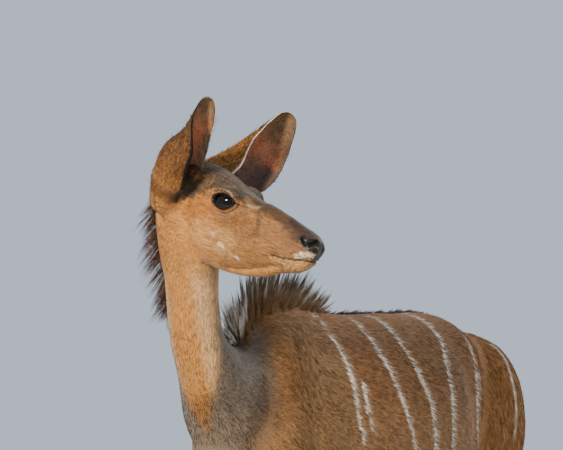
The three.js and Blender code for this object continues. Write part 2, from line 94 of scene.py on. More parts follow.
def to_frame(points):
    """Millimetres in the animal's axes to metres in the frame."""
    return (points + SHIFT) * MM


# %% [markdown]
# ## Small tools for numbers
# A body is easiest to describe by a table of cross sections. We read between the rows with a
# smooth curve, for thousands of points at once.

# %% Curves, masks and repeatable noise
def between(rows, places):
    """Values between the rows of a table, on a smooth curve through them."""
    rows = np.asarray(rows, float)
    last = len(rows) - 1
    i = np.clip(np.floor(places).astype(int), 0, last - 1)
    t = (places - i)[:, None]
    here, following = rows[i], rows[i + 1]
    leaving = (following - rows[np.maximum(i - 1, 0)]) / 2
    arriving = (rows[np.minimum(i + 2, last)] - here) / 2
    return (
        here * (1 + 2 * t) * (1 - t) ** 2
        + following * t * t * (3 - 2 * t)
        + leaving * t * (1 - t) ** 2
        + arriving * t * t * (t - 1)
    )


def unit(vectors):
    return vectors / np.maximum(np.linalg.norm(vectors, axis=-1, keepdims=True), 1e-9)


def step(low, high, value):
    """0 at low, 1 at high and a soft S between them. Low may be the larger one."""
    t = np.clip((value - low) / (high - low), 0, 1)
    return t * t * (3 - 2 * t)


def line_distance(points, line):
    """Distance to a bent line and the share of its length at the nearest place."""
    line = np.asarray(line, float)
    if len(line) == 1:
        return np.linalg.norm(points - line[0], axis=1), np.zeros(len(points))
    lengths = np.linalg.norm(np.diff(line, axis=0), axis=1)
    starts = np.concatenate([[0], np.cumsum(lengths)])
    best = np.full(len(points), 1e9)
    share = np.zeros(len(points))
    for k, (a, b) in enumerate(zip(line[:-1], line[1:])):
        way = b - a
        t = np.clip((points - a) @ way / max(way @ way, 1e-9), 0, 1)
        away = np.linalg.norm(points - a - t[:, None] * way, axis=1)
        closer = away < best
        best[closer] = away[closer]
        share[closer] = ((starts[k] + t * lengths[k]) / starts[-1])[closer]
    return best, share


def ripple(points, size, seed):
    """Smooth repeatable noise from -1 to 1. Its patches are about as wide as size."""
    rng = np.random.default_rng(seed)
    total = np.zeros(len(points))
    for _ in range(9):
        wave = unit(rng.normal(size=points.shape[1])) * rng.uniform(0.6, 1.7) * math.pi / size
        total += np.sin(points @ wave + rng.uniform(0, 2 * math.pi))
    return np.clip(total / 4, -1, 1)


# %% [markdown]
# ## The flesh
# Each table lists cross sections from one end of a part to the other, the same ones that shape
# the solids. A UV sphere has rings and two closed poles, so it can be stretched over a table
# and stays one closed skin. The skin lies inside the solids by the depth of the coat.

# %% Torso: y, top, bottom, half width, squareness above and below, how much wider above
TORSO = [
    [-512, 1000, 850, 30, 2.0, 2.0, 0.0],
    [-492, 1062, 788, 56, 2.0, 2.0, 0.0],
    [-452, 1128, 716, 82, 2.0, 2.0, -0.04],
    [-395, 1162, 668, 110, 1.9, 2.1, -0.08],
    [-310, 1180, 650, 143, 1.8, 2.1, -0.12],
    [-220, 1177, 648, 164, 1.8, 2.1, -0.12],
    [-110, 1163, 650, 184, 1.9, 2.1, -0.07],
    [0, 1156, 656, 197, 2.0, 2.1, -0.03],
    [110, 1157, 668, 200, 2.1, 2.1, 0.0],
    [220, 1160, 694, 189, 2.2, 2.1, 0.03],
    [320, 1164, 738, 170, 2.2, 2.1, 0.05],
    [400, 1156, 786, 152, 2.1, 2.0, 0.05],
    [458, 1132, 836, 131, 2.0, 2.0, 0.02],
    [500, 1092, 890, 100, 2.0, 2.0, 0.0],
    [528, 1030, 955, 44, 2.0, 2.0, 0.0],
]
torso_stations = []
for y, top, bottom, wide, above, below, taper in TORSO:
    middle = bottom + (top - bottom) * 0.47
    torso_stations.append([0, y, middle, 0, 0, 1, wide, top - middle, middle - bottom, above, below, taper])

# %% Neck: middle, degrees that the throat is turned, half width, depth to the nape and the throat
NECK = [
    [0, -395, 930, 0, 100, 165, 140],
    [0, -465, 985, 8, 97, 126, 108],
    [0, -532, 1045, 25, 70, 100, 86],
    [0, -577, 1110, 50, 56, 80, 64],
    [4, -600, 1175, 74, 50, 66, 58],
    [12, -620, 1235, 86, 50, 64, 58],
    [20, -642, 1300, 90, 54, 72, 64],
    [32, -656, 1365, 90, 53, 80, 62],
    [52, -660, 1420, 90, 44, 62, 40],
]
neck_stations = []
for x, y, z, turn, wide, nape, throat in NECK:
    turn = math.radians(turn)
    neck_stations.append([x, y, z, -math.sin(turn), math.cos(turn), 0, wide, nape, throat, 2, 2.1, 0])

# %% Head: distance ahead of the crown, top, bottom, half width, squareness and taper as above
HEAD = [
    [-62, -50, -104, 24, 2.0, 2.0, 0.0],
    [-50, -24, -136, 42, 2.0, 2.0, 0.0],
    [-20, -5, -168, 52, 2.0, 2.0, 0.04],
    [20, 2, -192, 56, 2.2, 1.9, 0.08],
    [60, -4, -208, 58, 2.3, 1.8, 0.1],
    [100, -13, -216, 54, 2.2, 1.8, 0.12],
    [140, -30, -212, 45, 2.1, 1.8, 0.12],
    [180, -47, -200, 38, 2.0, 1.8, 0.08],
    [215, -61, -183, 34, 2.0, 1.9, 0.04],
    [245, -71, -166, 32, 2.0, 2.1, 0.02],
    [268, -79, -150, 29, 2.1, 2.2, 0.02],
    [285, -87, -137, 24, 2.1, 2.2, 0.04],
    [295, -98, -126, 13, 2.0, 2.0, 0.0],
]
head_stations = []
head_left = HEAD_AXES[1]
for ahead, top, bottom, wide, above, below, taper in HEAD:
    middle = bottom + (top - bottom) * 0.52
    place = from_head([ahead, 0, middle])
    sizes = [wide, top - middle, middle - bottom, above, below, taper]
    head_stations.append([*place, *HEAD_AXES[2], *sizes])

# %% Legs, from the top: out, y, z, half width, depth to the front and to the back, squareness
FORELEG = [
    [62, -300, 1095, 26, 46, 50, 2.0],
    [76, -324, 1010, 39, 70, 84, 2.0],
    [84, -345, 915, 45, 66, 98, 2.1],
    [88, -362, 820, 45, 62, 92, 2.0],
    [90, -354, 735, 40, 54, 68, 2.0],
    [90, -348, 650, 34, 41, 46, 2.0],
    [90, -346, 550, 26, 30, 32, 2.0],
    [88, -346, 455, 20, 24, 23, 2.0],
    [87, -350, 405, 25, 27, 24, 2.0],
    [86, -347, 352, 18, 19, 20, 2.0],
    [85, -344, 260, 14, 15, 17, 2.0],
    [85, -344, 160, 14, 15, 17, 2.0],
    [85, -347, 115, 20, 19, 24, 2.0],
    [85, -362, 78, 17, 17, 19, 2.0],
    [85, -374, 48, 22, 24, 25, 2.0],
    [85, -378, 26, 20, 22, 24, 2.0],
]
HINDLEG = [
    [66, 372, 1088, 28, 72, 60, 2.0],
    [98, 406, 1020, 58, 124, 128, 2.3],
    [111, 422, 930, 64, 148, 148, 2.4],
    [110, 404, 845, 61, 140, 144, 2.3],
    [101, 376, 765, 48, 108, 108, 2.1],
    [92, 392, 690, 37, 70, 70, 2.0],
    [88, 426, 615, 28, 45, 47, 2.0],
    [85, 458, 545, 22, 30, 35, 2.0],
    [84, 480, 488, 23, 27, 37, 2.0],
    [83, 482, 435, 19, 22, 25, 2.0],
    [83, 475, 355, 15, 17, 18, 2.0],
    [82, 468, 250, 15, 16, 17, 2.0],
    [82, 462, 155, 15, 16, 18, 2.0],
    [82, 460, 112, 21, 20, 24, 2.0],
    [82, 448, 77, 17, 17, 19, 2.0],
    [82, 436, 48, 22, 24, 25, 2.0],
    [82, 432, 26, 20, 22, 24, 2.0],
]
STRIDE_TOP = 850
LEGS = {
    "front_left": (FORELEG, 1, -22),
    "front_right": (FORELEG, -1, 26),
    "hind_left": (HINDLEG, 1, 30),
    "hind_right": (HINDLEG, -1, -24),
}


def leg_stations(rows, side, stride):
    """Stations of one leg, its lower end moved along the body by the stride."""
    foot = rows[-1][2]
    made = []
    for out, y, z, wide, front, back, square in rows:
        share = min(1, max(0, (STRIDE_TOP - z) / (STRIDE_TOP - foot)))
        made.append([side * out, y + stride * share, z, 0, -1, 0, wide, front, back, square, square, 0])
    return made


# %% Tail: middle, half width, depth to the front and to the back
TAIL = [
    [0, 460, 1058, 24, 22, 22],
    [0, 510, 1046, 25, 20, 22],
    [0, 545, 1002, 22, 16, 17],
    [0, 560, 970, 19, 13, 14],
    [0, 562, 890, 19, 12, 12],
    [0, 560, 800, 17, 11, 11],
    [0, 556, 740, 11, 9, 9],
    [0, 552, 690, 6, 5, 5],
]
tail_stations = [
    [x, y, z, 0, 1, 0.3, wide, back, front, 2, 2, 0] for x, y, z, wide, front, back in TAIL
]

# %% Ears: direction, the way the cup faces, bulge and how tightly it is rolled
EAR_LENGTH = 238
EAR_ROOT = [-48, 46, -88]
EAR = [
    [0.0, 89, 150],
    [0.1, 110, 150],
    [0.22, 116, 145],
    [0.36, 111, 136],
    [0.5, 102, 124],
    [0.64, 84, 110],
    [0.77, 64, 96],
    [0.88, 45, 82],
    [0.95, 31, 74],
    [0.985, 19, 68],
    [1.0, 7, 60],
]
EARS = {
    "ear_right": (-1, [0.59, -0.34, 0.733], [1, 0, 0], 7, 1),
    "ear_left": (1, [0.69, 0.4, 0.6], [0.93, -0.32, -0.1], 30, 0.86),
}
EAR_STALK = [[-0.2, 27], [-0.08, 37], [0.02, 40], [0.09, 38], [0.14, 28]]


def ear_axes(side, axis, opening):
    """Root of an ear, and its directions along, to the open side and across."""
    along = unit(np.array(axis, float))
    facing = np.array(opening, float)
    facing = unit(facing - along * (facing @ along))
    root = from_head(np.array(EAR_ROOT) * [1, side, 1])
    return root, along, facing, np.cross(along, facing)


def stalk_stations(side, axis, opening, bulge, cupped):
    root, along, facing, _ = ear_axes(side, axis, opening)
    return [[*(root + along * share * EAR_LENGTH), *facing, r, r, r, 2, 2, 0] for share, r in EAR_STALK]


# %% Stretch a sphere over a table
def station_at(stations, places):
    """The middle, the directions along, back and aside, and the sizes at places of a table."""
    last = len(stations) - 1
    row = between(stations, places)
    ahead = between(stations, np.minimum(places + 0.02, last))[:, :3]
    behind = between(stations, np.maximum(places - 0.02, 0))[:, :3]
    along = unit(ahead - behind)
    back = row[:, 3:6]
    back = unit(back - along * (along * back).sum(1, keepdims=True))
    return row[:, :3], along, back, np.cross(back, along), row[:, 6:]


def loft_points(stations, places, angles, inset):
    """Points of the surface over a table, moved inward by the inset."""
    middle, _, back, side, sizes = station_at(stations, places)
    wide, above, below, square_above, square_below, taper = sizes.T
    upper = np.sin(angles) > 0
    power = 2 / np.where(upper, square_above, square_below)
    out = np.sign(np.cos(angles)) * np.abs(np.cos(angles)) ** power * (wide - inset)
    up = np.sign(np.sin(angles)) * np.abs(np.sin(angles)) ** power
    tall = np.where(upper, above, below) - inset
    return middle + side * (out * (1 + taper * up))[:, None] + back * (up * tall)[:, None]


def loft(stations, rings, sides, inset=COAT_DEPTH):
    """A sphere stretched over a table. Its poles close both ends."""
    ball = bmesh.new()
    bmesh.ops.create_uvsphere(ball, u_segments=sides, v_segments=rings, radius=1)
    at = np.array([v.co for v in ball.verts])
    down = np.arccos(np.clip(at[:, 2], -1, 1)) / math.pi * rings
    places = np.clip((down - 1) / (rings - 2), 0, 1) * (len(stations) - 1)
    points = loft_points(stations, places, np.arctan2(at[:, 1], at[:, 0]), inset)
    pole = np.hypot(at[:, 0], at[:, 1]) < 1e-4
    points[pole] = station_at(stations, places[pole])[0]
    for vertex, point in zip(ball.verts, to_frame(points)):
        vertex.co = point
    bmesh.ops.recalc_face_normals(ball, faces=ball.faces)
    return ball


def mesh_from(parts, name):
    """One mesh from several bmeshes."""
    whole = bmesh.new()
    for part in parts:
        loose = bpy.data.meshes.new("part")
        part.to_mesh(loose)
        part.free()
        whole.from_mesh(loose)
        bpy.data.meshes.remove(loose)
    mesh = bpy.data.meshes.new(name)
    whole.to_mesh(mesh)
    whole.free()
    return mesh


def put(mesh, name):
    piece = bpy.data.objects.new(name, mesh)
    bpy.context.scene.collection.objects.link(piece)
    return piece


legs = {name: leg_stations(*row) for name, row in LEGS.items()}
flesh = [
    loft(torso_stations, 72, 96),
    loft(neck_stations, 60, 72),
    loft(head_stations, 84, 80, 1.0),
    loft(tail_stations, 40, 24),
    *[loft(stations, 80, 40, 2.0) for stations in legs.values()],
    *[loft(stalk_stations(*row), 16, 24, 1.0) for row in EARS.values()],
]
skin = put(mesh_from(flesh, "skin"), "skin")
print("flesh before it is fused:", len(skin.data.vertices), "points")

# %% [markdown]
# ## One skin
# The parts overlap, and a voxel remesh melts them into one closed surface, as clay would join.
# Then we let the skin relax, more on the broad body than on the thin shanks and the face.

# %% Fuse the parts
VOXEL = 7.1


def finished_mesh(piece):
    """The piece's mesh with its modifiers applied."""
    evaluated = piece.evaluated_get(bpy.context.evaluated_depsgraph_get())
    mesh = bpy.data.meshes.new_from_object(evaluated)
    piece.modifiers.clear()
    return mesh


remesh = skin.modifiers.new("Fuse", "REMESH")
remesh.mode = "VOXEL"
remesh.voxel_size = VOXEL * MM
skin.data = finished_mesh(skin)
print("fused skin:", len(skin.data.vertices), "points")


# %% Read and write points
def points_of(mesh):
    """Points of a mesh in millimetres, in the animal's axes."""
    co = np.empty(len(mesh.vertices) * 3, np.float32)
    mesh.vertices.foreach_get("co", co)
    return co.reshape(-1, 3).astype(float) / MM - SHIFT


def set_points(mesh, points):
    mesh.vertices.foreach_set("co", to_frame(points).astype(np.float32).ravel())
    mesh.update()


def normals_of(mesh):
    normals = np.empty(len(mesh.vertices) * 3, np.float32)
    mesh.vertices.foreach_get("normal", normals)
    return normals.reshape(-1, 3).astype(float)


def relax(mesh, turns, weight, back=-0.56):
    """Moves each point towards the middle of its neighbours, then back a little, so nothing shrinks."""
    edges = np.empty(len(mesh.edges) * 2, np.int32)
    mesh.edges.foreach_get("vertices", edges)
    a, b = edges.reshape(-1, 2).T
    count = np.bincount(edges, minlength=len(mesh.vertices))[:, None]
    points = points_of(mesh)
    weight = weight[:, None]
    for turn in range(2 * turns):
        total = np.stack(
            [
                np.bincount(a, points[b, k], len(points)) + np.bincount(b, points[a, k], len(points))
                for k in range(3)
            ],
            axis=1,
        )
        share = 0.55 if turn % 2 == 0 else back
        points += (total / count - points) * weight * share
    set_points(mesh, points)


# %% Which part is near, and where along it
PARTS = {"torso": torso_stations, "neck": neck_stations, "head": head_stations, "tail": tail_stations}
PARTS.update({f"leg_{name}": stations for name, stations in legs.items()})
STEPS = 60


def near_part(points, stations):
    """Distance in half widths from a part's middle line, the place along it and the angle round it."""
    places = np.linspace(0, len(stations) - 1, STEPS)
    middle, along, back, side, sizes = station_at(stations, places)
    reach = (sizes[:, 0] + sizes[:, 1] + sizes[:, 2]) / 3
    away = np.linalg.norm(points[:, None] - middle[None], axis=2)
    nearest = np.argmin(away / reach, axis=1)
    offset = points - middle[nearest]
    angle = np.arctan2((offset * back[nearest]).sum(1), (offset * side[nearest]).sum(1))
    distance = away[np.arange(len(points)), nearest] / reach[nearest]
    spacing = np.linalg.norm(np.gradient(middle, axis=0), axis=1)[nearest]
    further = np.clip((offset * along[nearest]).sum(1) / spacing, -0.5, 0.5)
    share = np.clip((nearest + further) / (STEPS - 1), 0, 1)
    return distance, share, angle, along[nearest]


def part_weights(points):
    """How much each part owns each point, and the hair's lie there."""
    weights = {}
    lie = np.zeros_like(points)
    for name, stations in PARTS.items():
        distance, share, angle, along = near_part(points, stations)
        weight = np.exp(-4.5 * distance)
        flow = along if name in ("torso", "tail") or name.startswith("leg") else -along
        if name == "torso":
            flow = flow + np.array([0, 0, -0.45])
        if name == "head":
            weight = weight * 6 * step(-60, -20, to_head(points)[:, 0])
            flow = flow + np.array([0, 0, -0.12])
        lie += flow * weight[:, None]
        weights[name] = (weight, share, angle)
    return weights, unit(lie)


points = points_of(skin.data)
head_near = step(-75, -10, to_head(points)[:, 0]) * step(1150, 1250, points[:, 2])
shank = step(640, 520, points[:, 2])
relax(skin.data, 16, np.clip(1 - 0.85 * head_near - 0.85 * shank, 0.05, 1))
# The shoulder melts into the trunk, where a plain union would leave a ridge
shoulder = np.exp(-((line_distance(np.abs(points_of(skin.data)), [[105, 395, 1080], [118, 400, 900]])[0] / 95) ** 2))
relax(skin.data, 45, shoulder * step(-180, -260, points_of(skin.data)[:, 1]), 0.5)
print("relaxed, box:", points_of(skin.data).min(0).round(), points_of(skin.data).max(0).round())

# %% [markdown]
# ## Finer skin where the eye looks
# The head needs smaller faces than the flank. We split the faces of the head once, and those
# round the eyes, nose and mouth again.


# %% Split faces by place
def split_faces(piece, chosen):
    """Splits every edge whose two ends are chosen."""
    work = bmesh.new()
    work.from_mesh(piece.data)
    edges = [e for e in work.edges if chosen[e.verts[0].index] and chosen[e.verts[1].index]]
    bmesh.ops.subdivide_edges(work, edges=edges, cuts=1, use_grid_fill=True)
    work.to_mesh(piece.data)
    work.free()


MOUTH = [[300, -129], [279, -132], [257, -135.5], [238, -140], [222, -142.5], [207, -142]]
NOSTRIL = [[287, -90], [282, -97], [274, -99], [266, -95], [262, -90]]

h = to_head(points_of(skin.data))
on_head = (h[:, 0] > -58) & (points_of(skin.data)[:, 2] > 1200)
split_faces(skin, on_head)
h = to_head(points_of(skin.data))
relax(skin.data, 2, 0.7 * (h[:, 0] > -58) * step(1200, 1215, points_of(skin.data)[:, 2]))

eye_gap = np.linalg.norm(np.abs(h) - np.abs(EYE_PLACE), axis=1)
mouth_gap = line_distance(h[:, [0, 2]], MOUTH)[0]
nose_gap = line_distance(h[:, [0, 2]], NOSTRIL)[0]
fine = (eye_gap < 46) | ((mouth_gap < 13) & (h[:, 0] > 150)) | (nose_gap < 20)
split_faces(skin, fine & (points_of(skin.data)[:, 2] > 1200))
eye_gap = np.linalg.norm(np.abs(to_head(points_of(skin.data))) - np.abs(EYE_PLACE), axis=1)
split_faces(skin, (eye_gap < 36) & (points_of(skin.data)[:, 2] > 1200))
print("skin with a finer head:", len(skin.data.vertices), "points")

# %% [markdown]
# ## Muscles, bones and folds
# Soft swellings and hollows turn a smooth tube into an animal. Each is a bent line, a reach and
# a lift along the skin's normal. Both sides of the animal get the same ones.

# %% Swellings and hollows of the body: line of x, y, z, reach, lift
BODY_FORMS = [
    ([[70, -330, 1150], [98, -372, 1020], [110, -405, 905]], 38, 1.5),  # spine of the shoulder blade
    ([[112, -425, 890]], 42, 6),  # point of the shoulder
    ([[126, -262, 800], [128, -250, 735]], 30, 6),  # elbow
    ([[96, -440, 1010], [84, -470, 930], [70, -480, 850]], 26, -3),  # groove between neck and shoulder
    ([[175, -120, 1000], [190, 60, 960], [184, 180, 930]], 90, 3),  # spread of the ribs
    ([[160, 262, 1000], [150, 275, 930], [140, 268, 850]], 44, -11),  # hollow of the flank
    ([[112, 296, 1118]], 42, 10),  # point of the hip
    ([[60, 300, 1165], [40, 380, 1160]], 40, 4),  # croup
    ([[112, 470, 1050], [108, 520, 985]], 30, 5),  # seat bone
    ([[150, 300, 800], [140, 290, 760]], 34, 5),  # stifle
    ([[152, 420, 900], [140, 470, 830]], 30, -4),  # groove of the ham
    ([[30, -200, 655], [28, 0, 664], [22, 160, 690]], 30, 2),  # belly
    ([[40, -600, 1240], [36, -570, 1160], [44, -520, 1080]], 18, -3),  # neck muscle
]
points = points_of(skin.data)
normals = normals_of(skin.data)
mirrored = points * [1, 1, 1]
mirrored[:, 0] = np.abs(mirrored[:, 0])
for line, reach, lift in BODY_FORMS:
    away, _ = line_distance(mirrored, line)
    points += normals * (lift * np.exp(-((away / reach) ** 2)))[:, None]
set_points(skin.data, points)
print("body forms:", len(BODY_FORMS))

# %% Forms of the head: line of ahead, out, up, reach, lift
HEAD_FORMS = [
    ([[58, 50, -46], [84, 52, -42], [108, 44, -50]], 11, 6),  # brow
    ([[116, 44, -84], [90, 54, -104], [52, 57, -110], [20, 56, -104]], 12, 3.5),  # cheekbone
    ([[26, 48, -52], [10, 50, -60]], 20, -4),  # temple
    ([[52, 50, -146], [30, 48, -170]], 38, 4),  # jaw muscle
    ([[128, 44, -112], [170, 37, -112], [205, 33, -108]], 22, -5),  # hollow before the cheek
    ([[104, 30, -26], [134, 26, -40]], 14, 2.5),  # edge of the forehead
    ([[60, 0, 0], [100, 0, -12]], 22, -2.5),  # dip between the brows
    ([[160, 0, -40], [215, 0, -61]], 14, 2),  # bridge of the nose
    ([[272, 26, -92], [262, 30, -98]], 10, 3.5),  # wing of the nostril
    ([[296, 12, -112], [280, 26, -120], [255, 31, -124]], 9, 3),  # upper lip
    ([[288, 14, -138], [262, 24, -146], [236, 26, -150]], 8, 2.5),  # lower lip
    ([[276, 6, -150], [258, 8, -160]], 13, 4.5),  # chin
    ([[226, 4, -170], [212, 6, -178]], 11, -4.5),  # notch behind the chin
    ([[232, 24, -156], [204, 25, -165], [185, 25, -174], [160, 24, -186], [132, 22, -194], [106, 22, -198]], 4.5, -3.6),
    ([[228, 14, -168], [190, 16, -184], [150, 16, -198], [112, 16, -206]], 9, 3),  # jaw below that groove
    ([[157, 36, -67], [162, 39, -83], [165, 40, -100], [160, 41, -115], [153, 42, -124]], 2.8, 2.4),  # face vein
    ([[169, 31, -65], [192, 27, -73], [211, 23, -76]], 2.6, 1.0),  # its branch
    ([[108, 56, -67], [134, 46, -68]], 4, -2.6),  # tear groove
    ([[64, 58, -98], [86, 60, -104], [106, 56, -99]], 3.4, -1.6),  # fold under the eye
    ([[56, 60, -50], [78, 61, -43], [100, 58, -47], [112, 52, -56]], 3.4, -1.8),  # fold over the eye
    ([[131, 38, -158], [150, 36, -155], [167, 34, -151]], 4, -1.6),  # line of the cheek
]


def head_outline(h, line, reach):
    """Share of a form at head points, on both sides."""
    both = h * [1, 1, 1]
    both[:, 1] = np.abs(both[:, 1])
    away, _ = line_distance(both, line)
    return np.exp(-((away / reach) ** 2))


points = points_of(skin.data)
normals = normals_of(skin.data)
h = to_head(points)
for line, reach, lift in HEAD_FORMS:
    points += normals * (lift * head_outline(h, line, reach))[:, None]
print("head forms:", len(HEAD_FORMS))

# %% Profile of the face: how far the top of the head sinks along it, so that it runs straight
PROFILE_SINK = [
    [-60, 0],
    [-20, 7],
    [20, 15],
    [60, 21],
    [100, 31],
    [125, 32],
    [143, 26],
    [157, 19],
    [181, 10],
    [208, 2],
    [235, -3],
    [260, -6],
    [300, -7],
]
h = to_head(points)
sink = np.interp(h[:, 0], *np.array(PROFILE_SINK, float).T)
top = np.interp(h[:, 0], *np.array(HEAD)[:, :2].T)
points -= HEAD_AXES[2] * (sink * step(top - 46, top - 4, h[:, 2]))[:, None]
print("the forehead sinks by up to", sink.max(), "mm")

# %% Mouth and nostrils
h = to_head(points)
side_view = h[:, [0, 2]]
mouth_gap, mouth_share = line_distance(side_view, MOUTH)
in_front = (np.abs(h[:, 1]) > 3) | (h[:, 0] > 285)
lips = np.exp(-((mouth_gap / 1.5) ** 2)) * step(1.0, 0.9, mouth_share) * in_front * (h[:, 0] > 190)
points -= normals * (4.5 * lips)[:, None]

nose_gap, nose_share = line_distance(side_view, NOSTRIL)
width = 5.2 - 3.2 * nose_share
pit = step(1.0, 0.35, nose_gap / width) * step(8, 13, np.abs(h[:, 1]))
inward = unit(np.stack([-np.ones(len(h)), -1.3 * np.sign(h[:, 1]), np.zeros(len(h))], axis=1)) @ HEAD_AXES
points += inward * (9 * pit)[:, None]
set_points(skin.data, points)
print("deepest nostril point moved by 9 mm")

# %% [markdown]
# ## Lids
# The eye of an antelope is large and bulges at the side of the head. The lids lie on the ball
# like thin cloth. So every skin point near the eye is moved to a small height above the ball,
# and points in the gap between the lids sink behind it, where they don't show.

# %% The gap between the lids
EYE_TILT = math.radians(9)
EYE_HALF = 26.0
EYE_UPPER = 13.8
EYE_LOWER = 15.0
EYE_FLAT = np.array([34.0, 28.0, 30.0])
LID_HEIGHT = 3.0
LID_BACK = 2.5


def lid_gap(h):
    """Signed distance to the edge of the lids, measured over the eye: negative between them."""
    u = h[:, 0] - EYE_PLACE[0] + LID_BACK
    v = h[:, 2] - EYE_PLACE[2]
    along = u * math.cos(EYE_TILT) + v * math.sin(EYE_TILT)
    across = v * math.cos(EYE_TILT) - u * math.sin(EYE_TILT)
    t = np.linspace(-1, 1, 41)
    upper = EYE_UPPER * (1 - np.abs(t) ** 2.0) ** 0.8 * (1 - 0.1 * t)
    lower = -EYE_LOWER * (1 - np.abs(t) ** 2.0) ** 0.9 * (1 + 0.05 * t)
    edge = np.concatenate([np.stack([t, upper], 1), np.stack([t, lower], 1)[::-1]]) * [EYE_HALF, 1]
    away, _ = line_distance(np.stack([along, across], 1), np.concatenate([edge, edge[:1]]))
    share = np.clip(along / EYE_HALF, -1, 1)
    inside = (across < np.interp(share, t, upper)) & (across > np.interp(share, t, lower))
    return np.where(inside & (np.abs(along) < EYE_HALF), -away, away)


points = points_of(skin.data)
h = to_head(points)
for side in (1, -1):
    offset = h - EYE_PLACE * [1, side, 1]
    near = (np.linalg.norm(offset, axis=1) < 52) & (h[:, 1] * side > 20)
    gap = lid_gap(h[near])
    height = LID_HEIGHT - 1.6 * np.exp(-(((gap - 9) / 2.4) ** 2)) + 0.12 * np.maximum(gap - 10, 0)
    height = np.where(gap < 1.2, LID_HEIGHT * step(-0.4, 1.2, gap) - 6 * step(1.2, -1.5, gap), height)
    spread = offset[near] / EYE_FLAT
    lid = EYE_PLACE * [1, side, 1] + unit(spread) * EYE_FLAT * (1 + height / EYE_RADIUS)[:, None]
    weight = step(19, 8, gap)[:, None]
    points[near] += (from_head(lid) - points[near]) * weight
set_points(skin.data, points)
print("lids laid over both eyes")

# %% [markdown]
# ## Colours of the coat
# A kudu cow is fawn, greyer at the shoulder and warmer at the rump, with thin chalk-white stripes,
# a dark crown, a pale bar before the eye and white spots on the cheek. A painted shadow of the neck
# lies over the grey of the shoulder, and painted shade lies along the groove of the jaw. One function
# gives the colour at any point, and both the skin and every hair on it ask that function. So their
# markings always agree.

# %% Hex colours to linear ones
def linear(code):
    """The linear colour of an sRGB hex code."""
    srgb = np.array([int(code[k : k + 2], 16) for k in (1, 3, 5)]) / 255
    return np.where(srgb <= 0.04045, srgb / 12.92, ((srgb + 0.055) / 1.055) ** 2.4)


def paint(colours, code, share):
    """Moves colours towards a hex colour by a share at each point."""
    return colours + (linear(code) - colours) * np.clip(share, 0, 1)[:, None]


# %% Stripes of the flank: y and z along each, from the back down
STRIPES = [
    [[-192, 1172], [-188, 1130], [-184, 1050], [-198, 950], [-192, 880]],
    [[-158, 1022], [-167, 968], [-165, 910]],
    [[-34, 1160], [-53, 1122], [-60, 1072], [-53, 985], [-36, 920], [-18, 870], [-8, 810]],
    [[66, 1160], [50, 1132], [35, 1080], [38, 1030], [50, 960], [58, 875], [60, 800]],
    [[236, 1166], [222, 1132], [198, 1092], [165, 1048], [150, 995], [136, 940], [134, 870], [138, 810]],
    [[326, 1150], [331, 1100], [328, 1055], [312, 1003], [303, 940], [310, 866]],
    [[452, 1090], [467, 1050], [471, 985], [467, 935], [453, 882]],
]
STRIPE_HALF = 3.4


def stripe_share(points):
    """How white the stripes make each point, with frayed edges."""
    far = points[:, 0] < 0
    share = np.zeros(len(points))
    fray = 2.2 * ripple(points, 9, 3) + 1.6 * ripple(points, 4, 4)
    for number, line in enumerate(STRIPES):
        flat = points[:, 1:] + np.stack([np.where(far, 17 * math.sin(2.3 * number), 0), 0 * far], 1)
        away, along = line_distance(flat, line)
        half = STRIPE_HALF * (0.75 + 0.5 * np.sin(math.pi * np.clip(along, 0, 1)) + 0.25 * ripple(points, 40, 5))
        ends = step(0, 0.05, along) * step(1, 0.9, along)
        share = np.maximum(share, step(half + 1.8, half - 1.2, away + fray) * ends)
    return share * step(12, 26, np.abs(points[:, 0]))


# %% Colour of the body
FAWN = "#784d1b"
NECK_FAWN = "#a16f34"
SHOULDER_GREY_AND_NECK_SHADOW = "#5c5850"
RUMP_WARM = "#935f22"
BACK_BROWN = "#9c6525"
BELLY_PALE = "#9b7549"
LEG_FAWN = "#a17443"
SHANK_PALE = "#bb9767"
CHALK = "#f0e6d4"
BLACK_BROWN = "#2c211b"


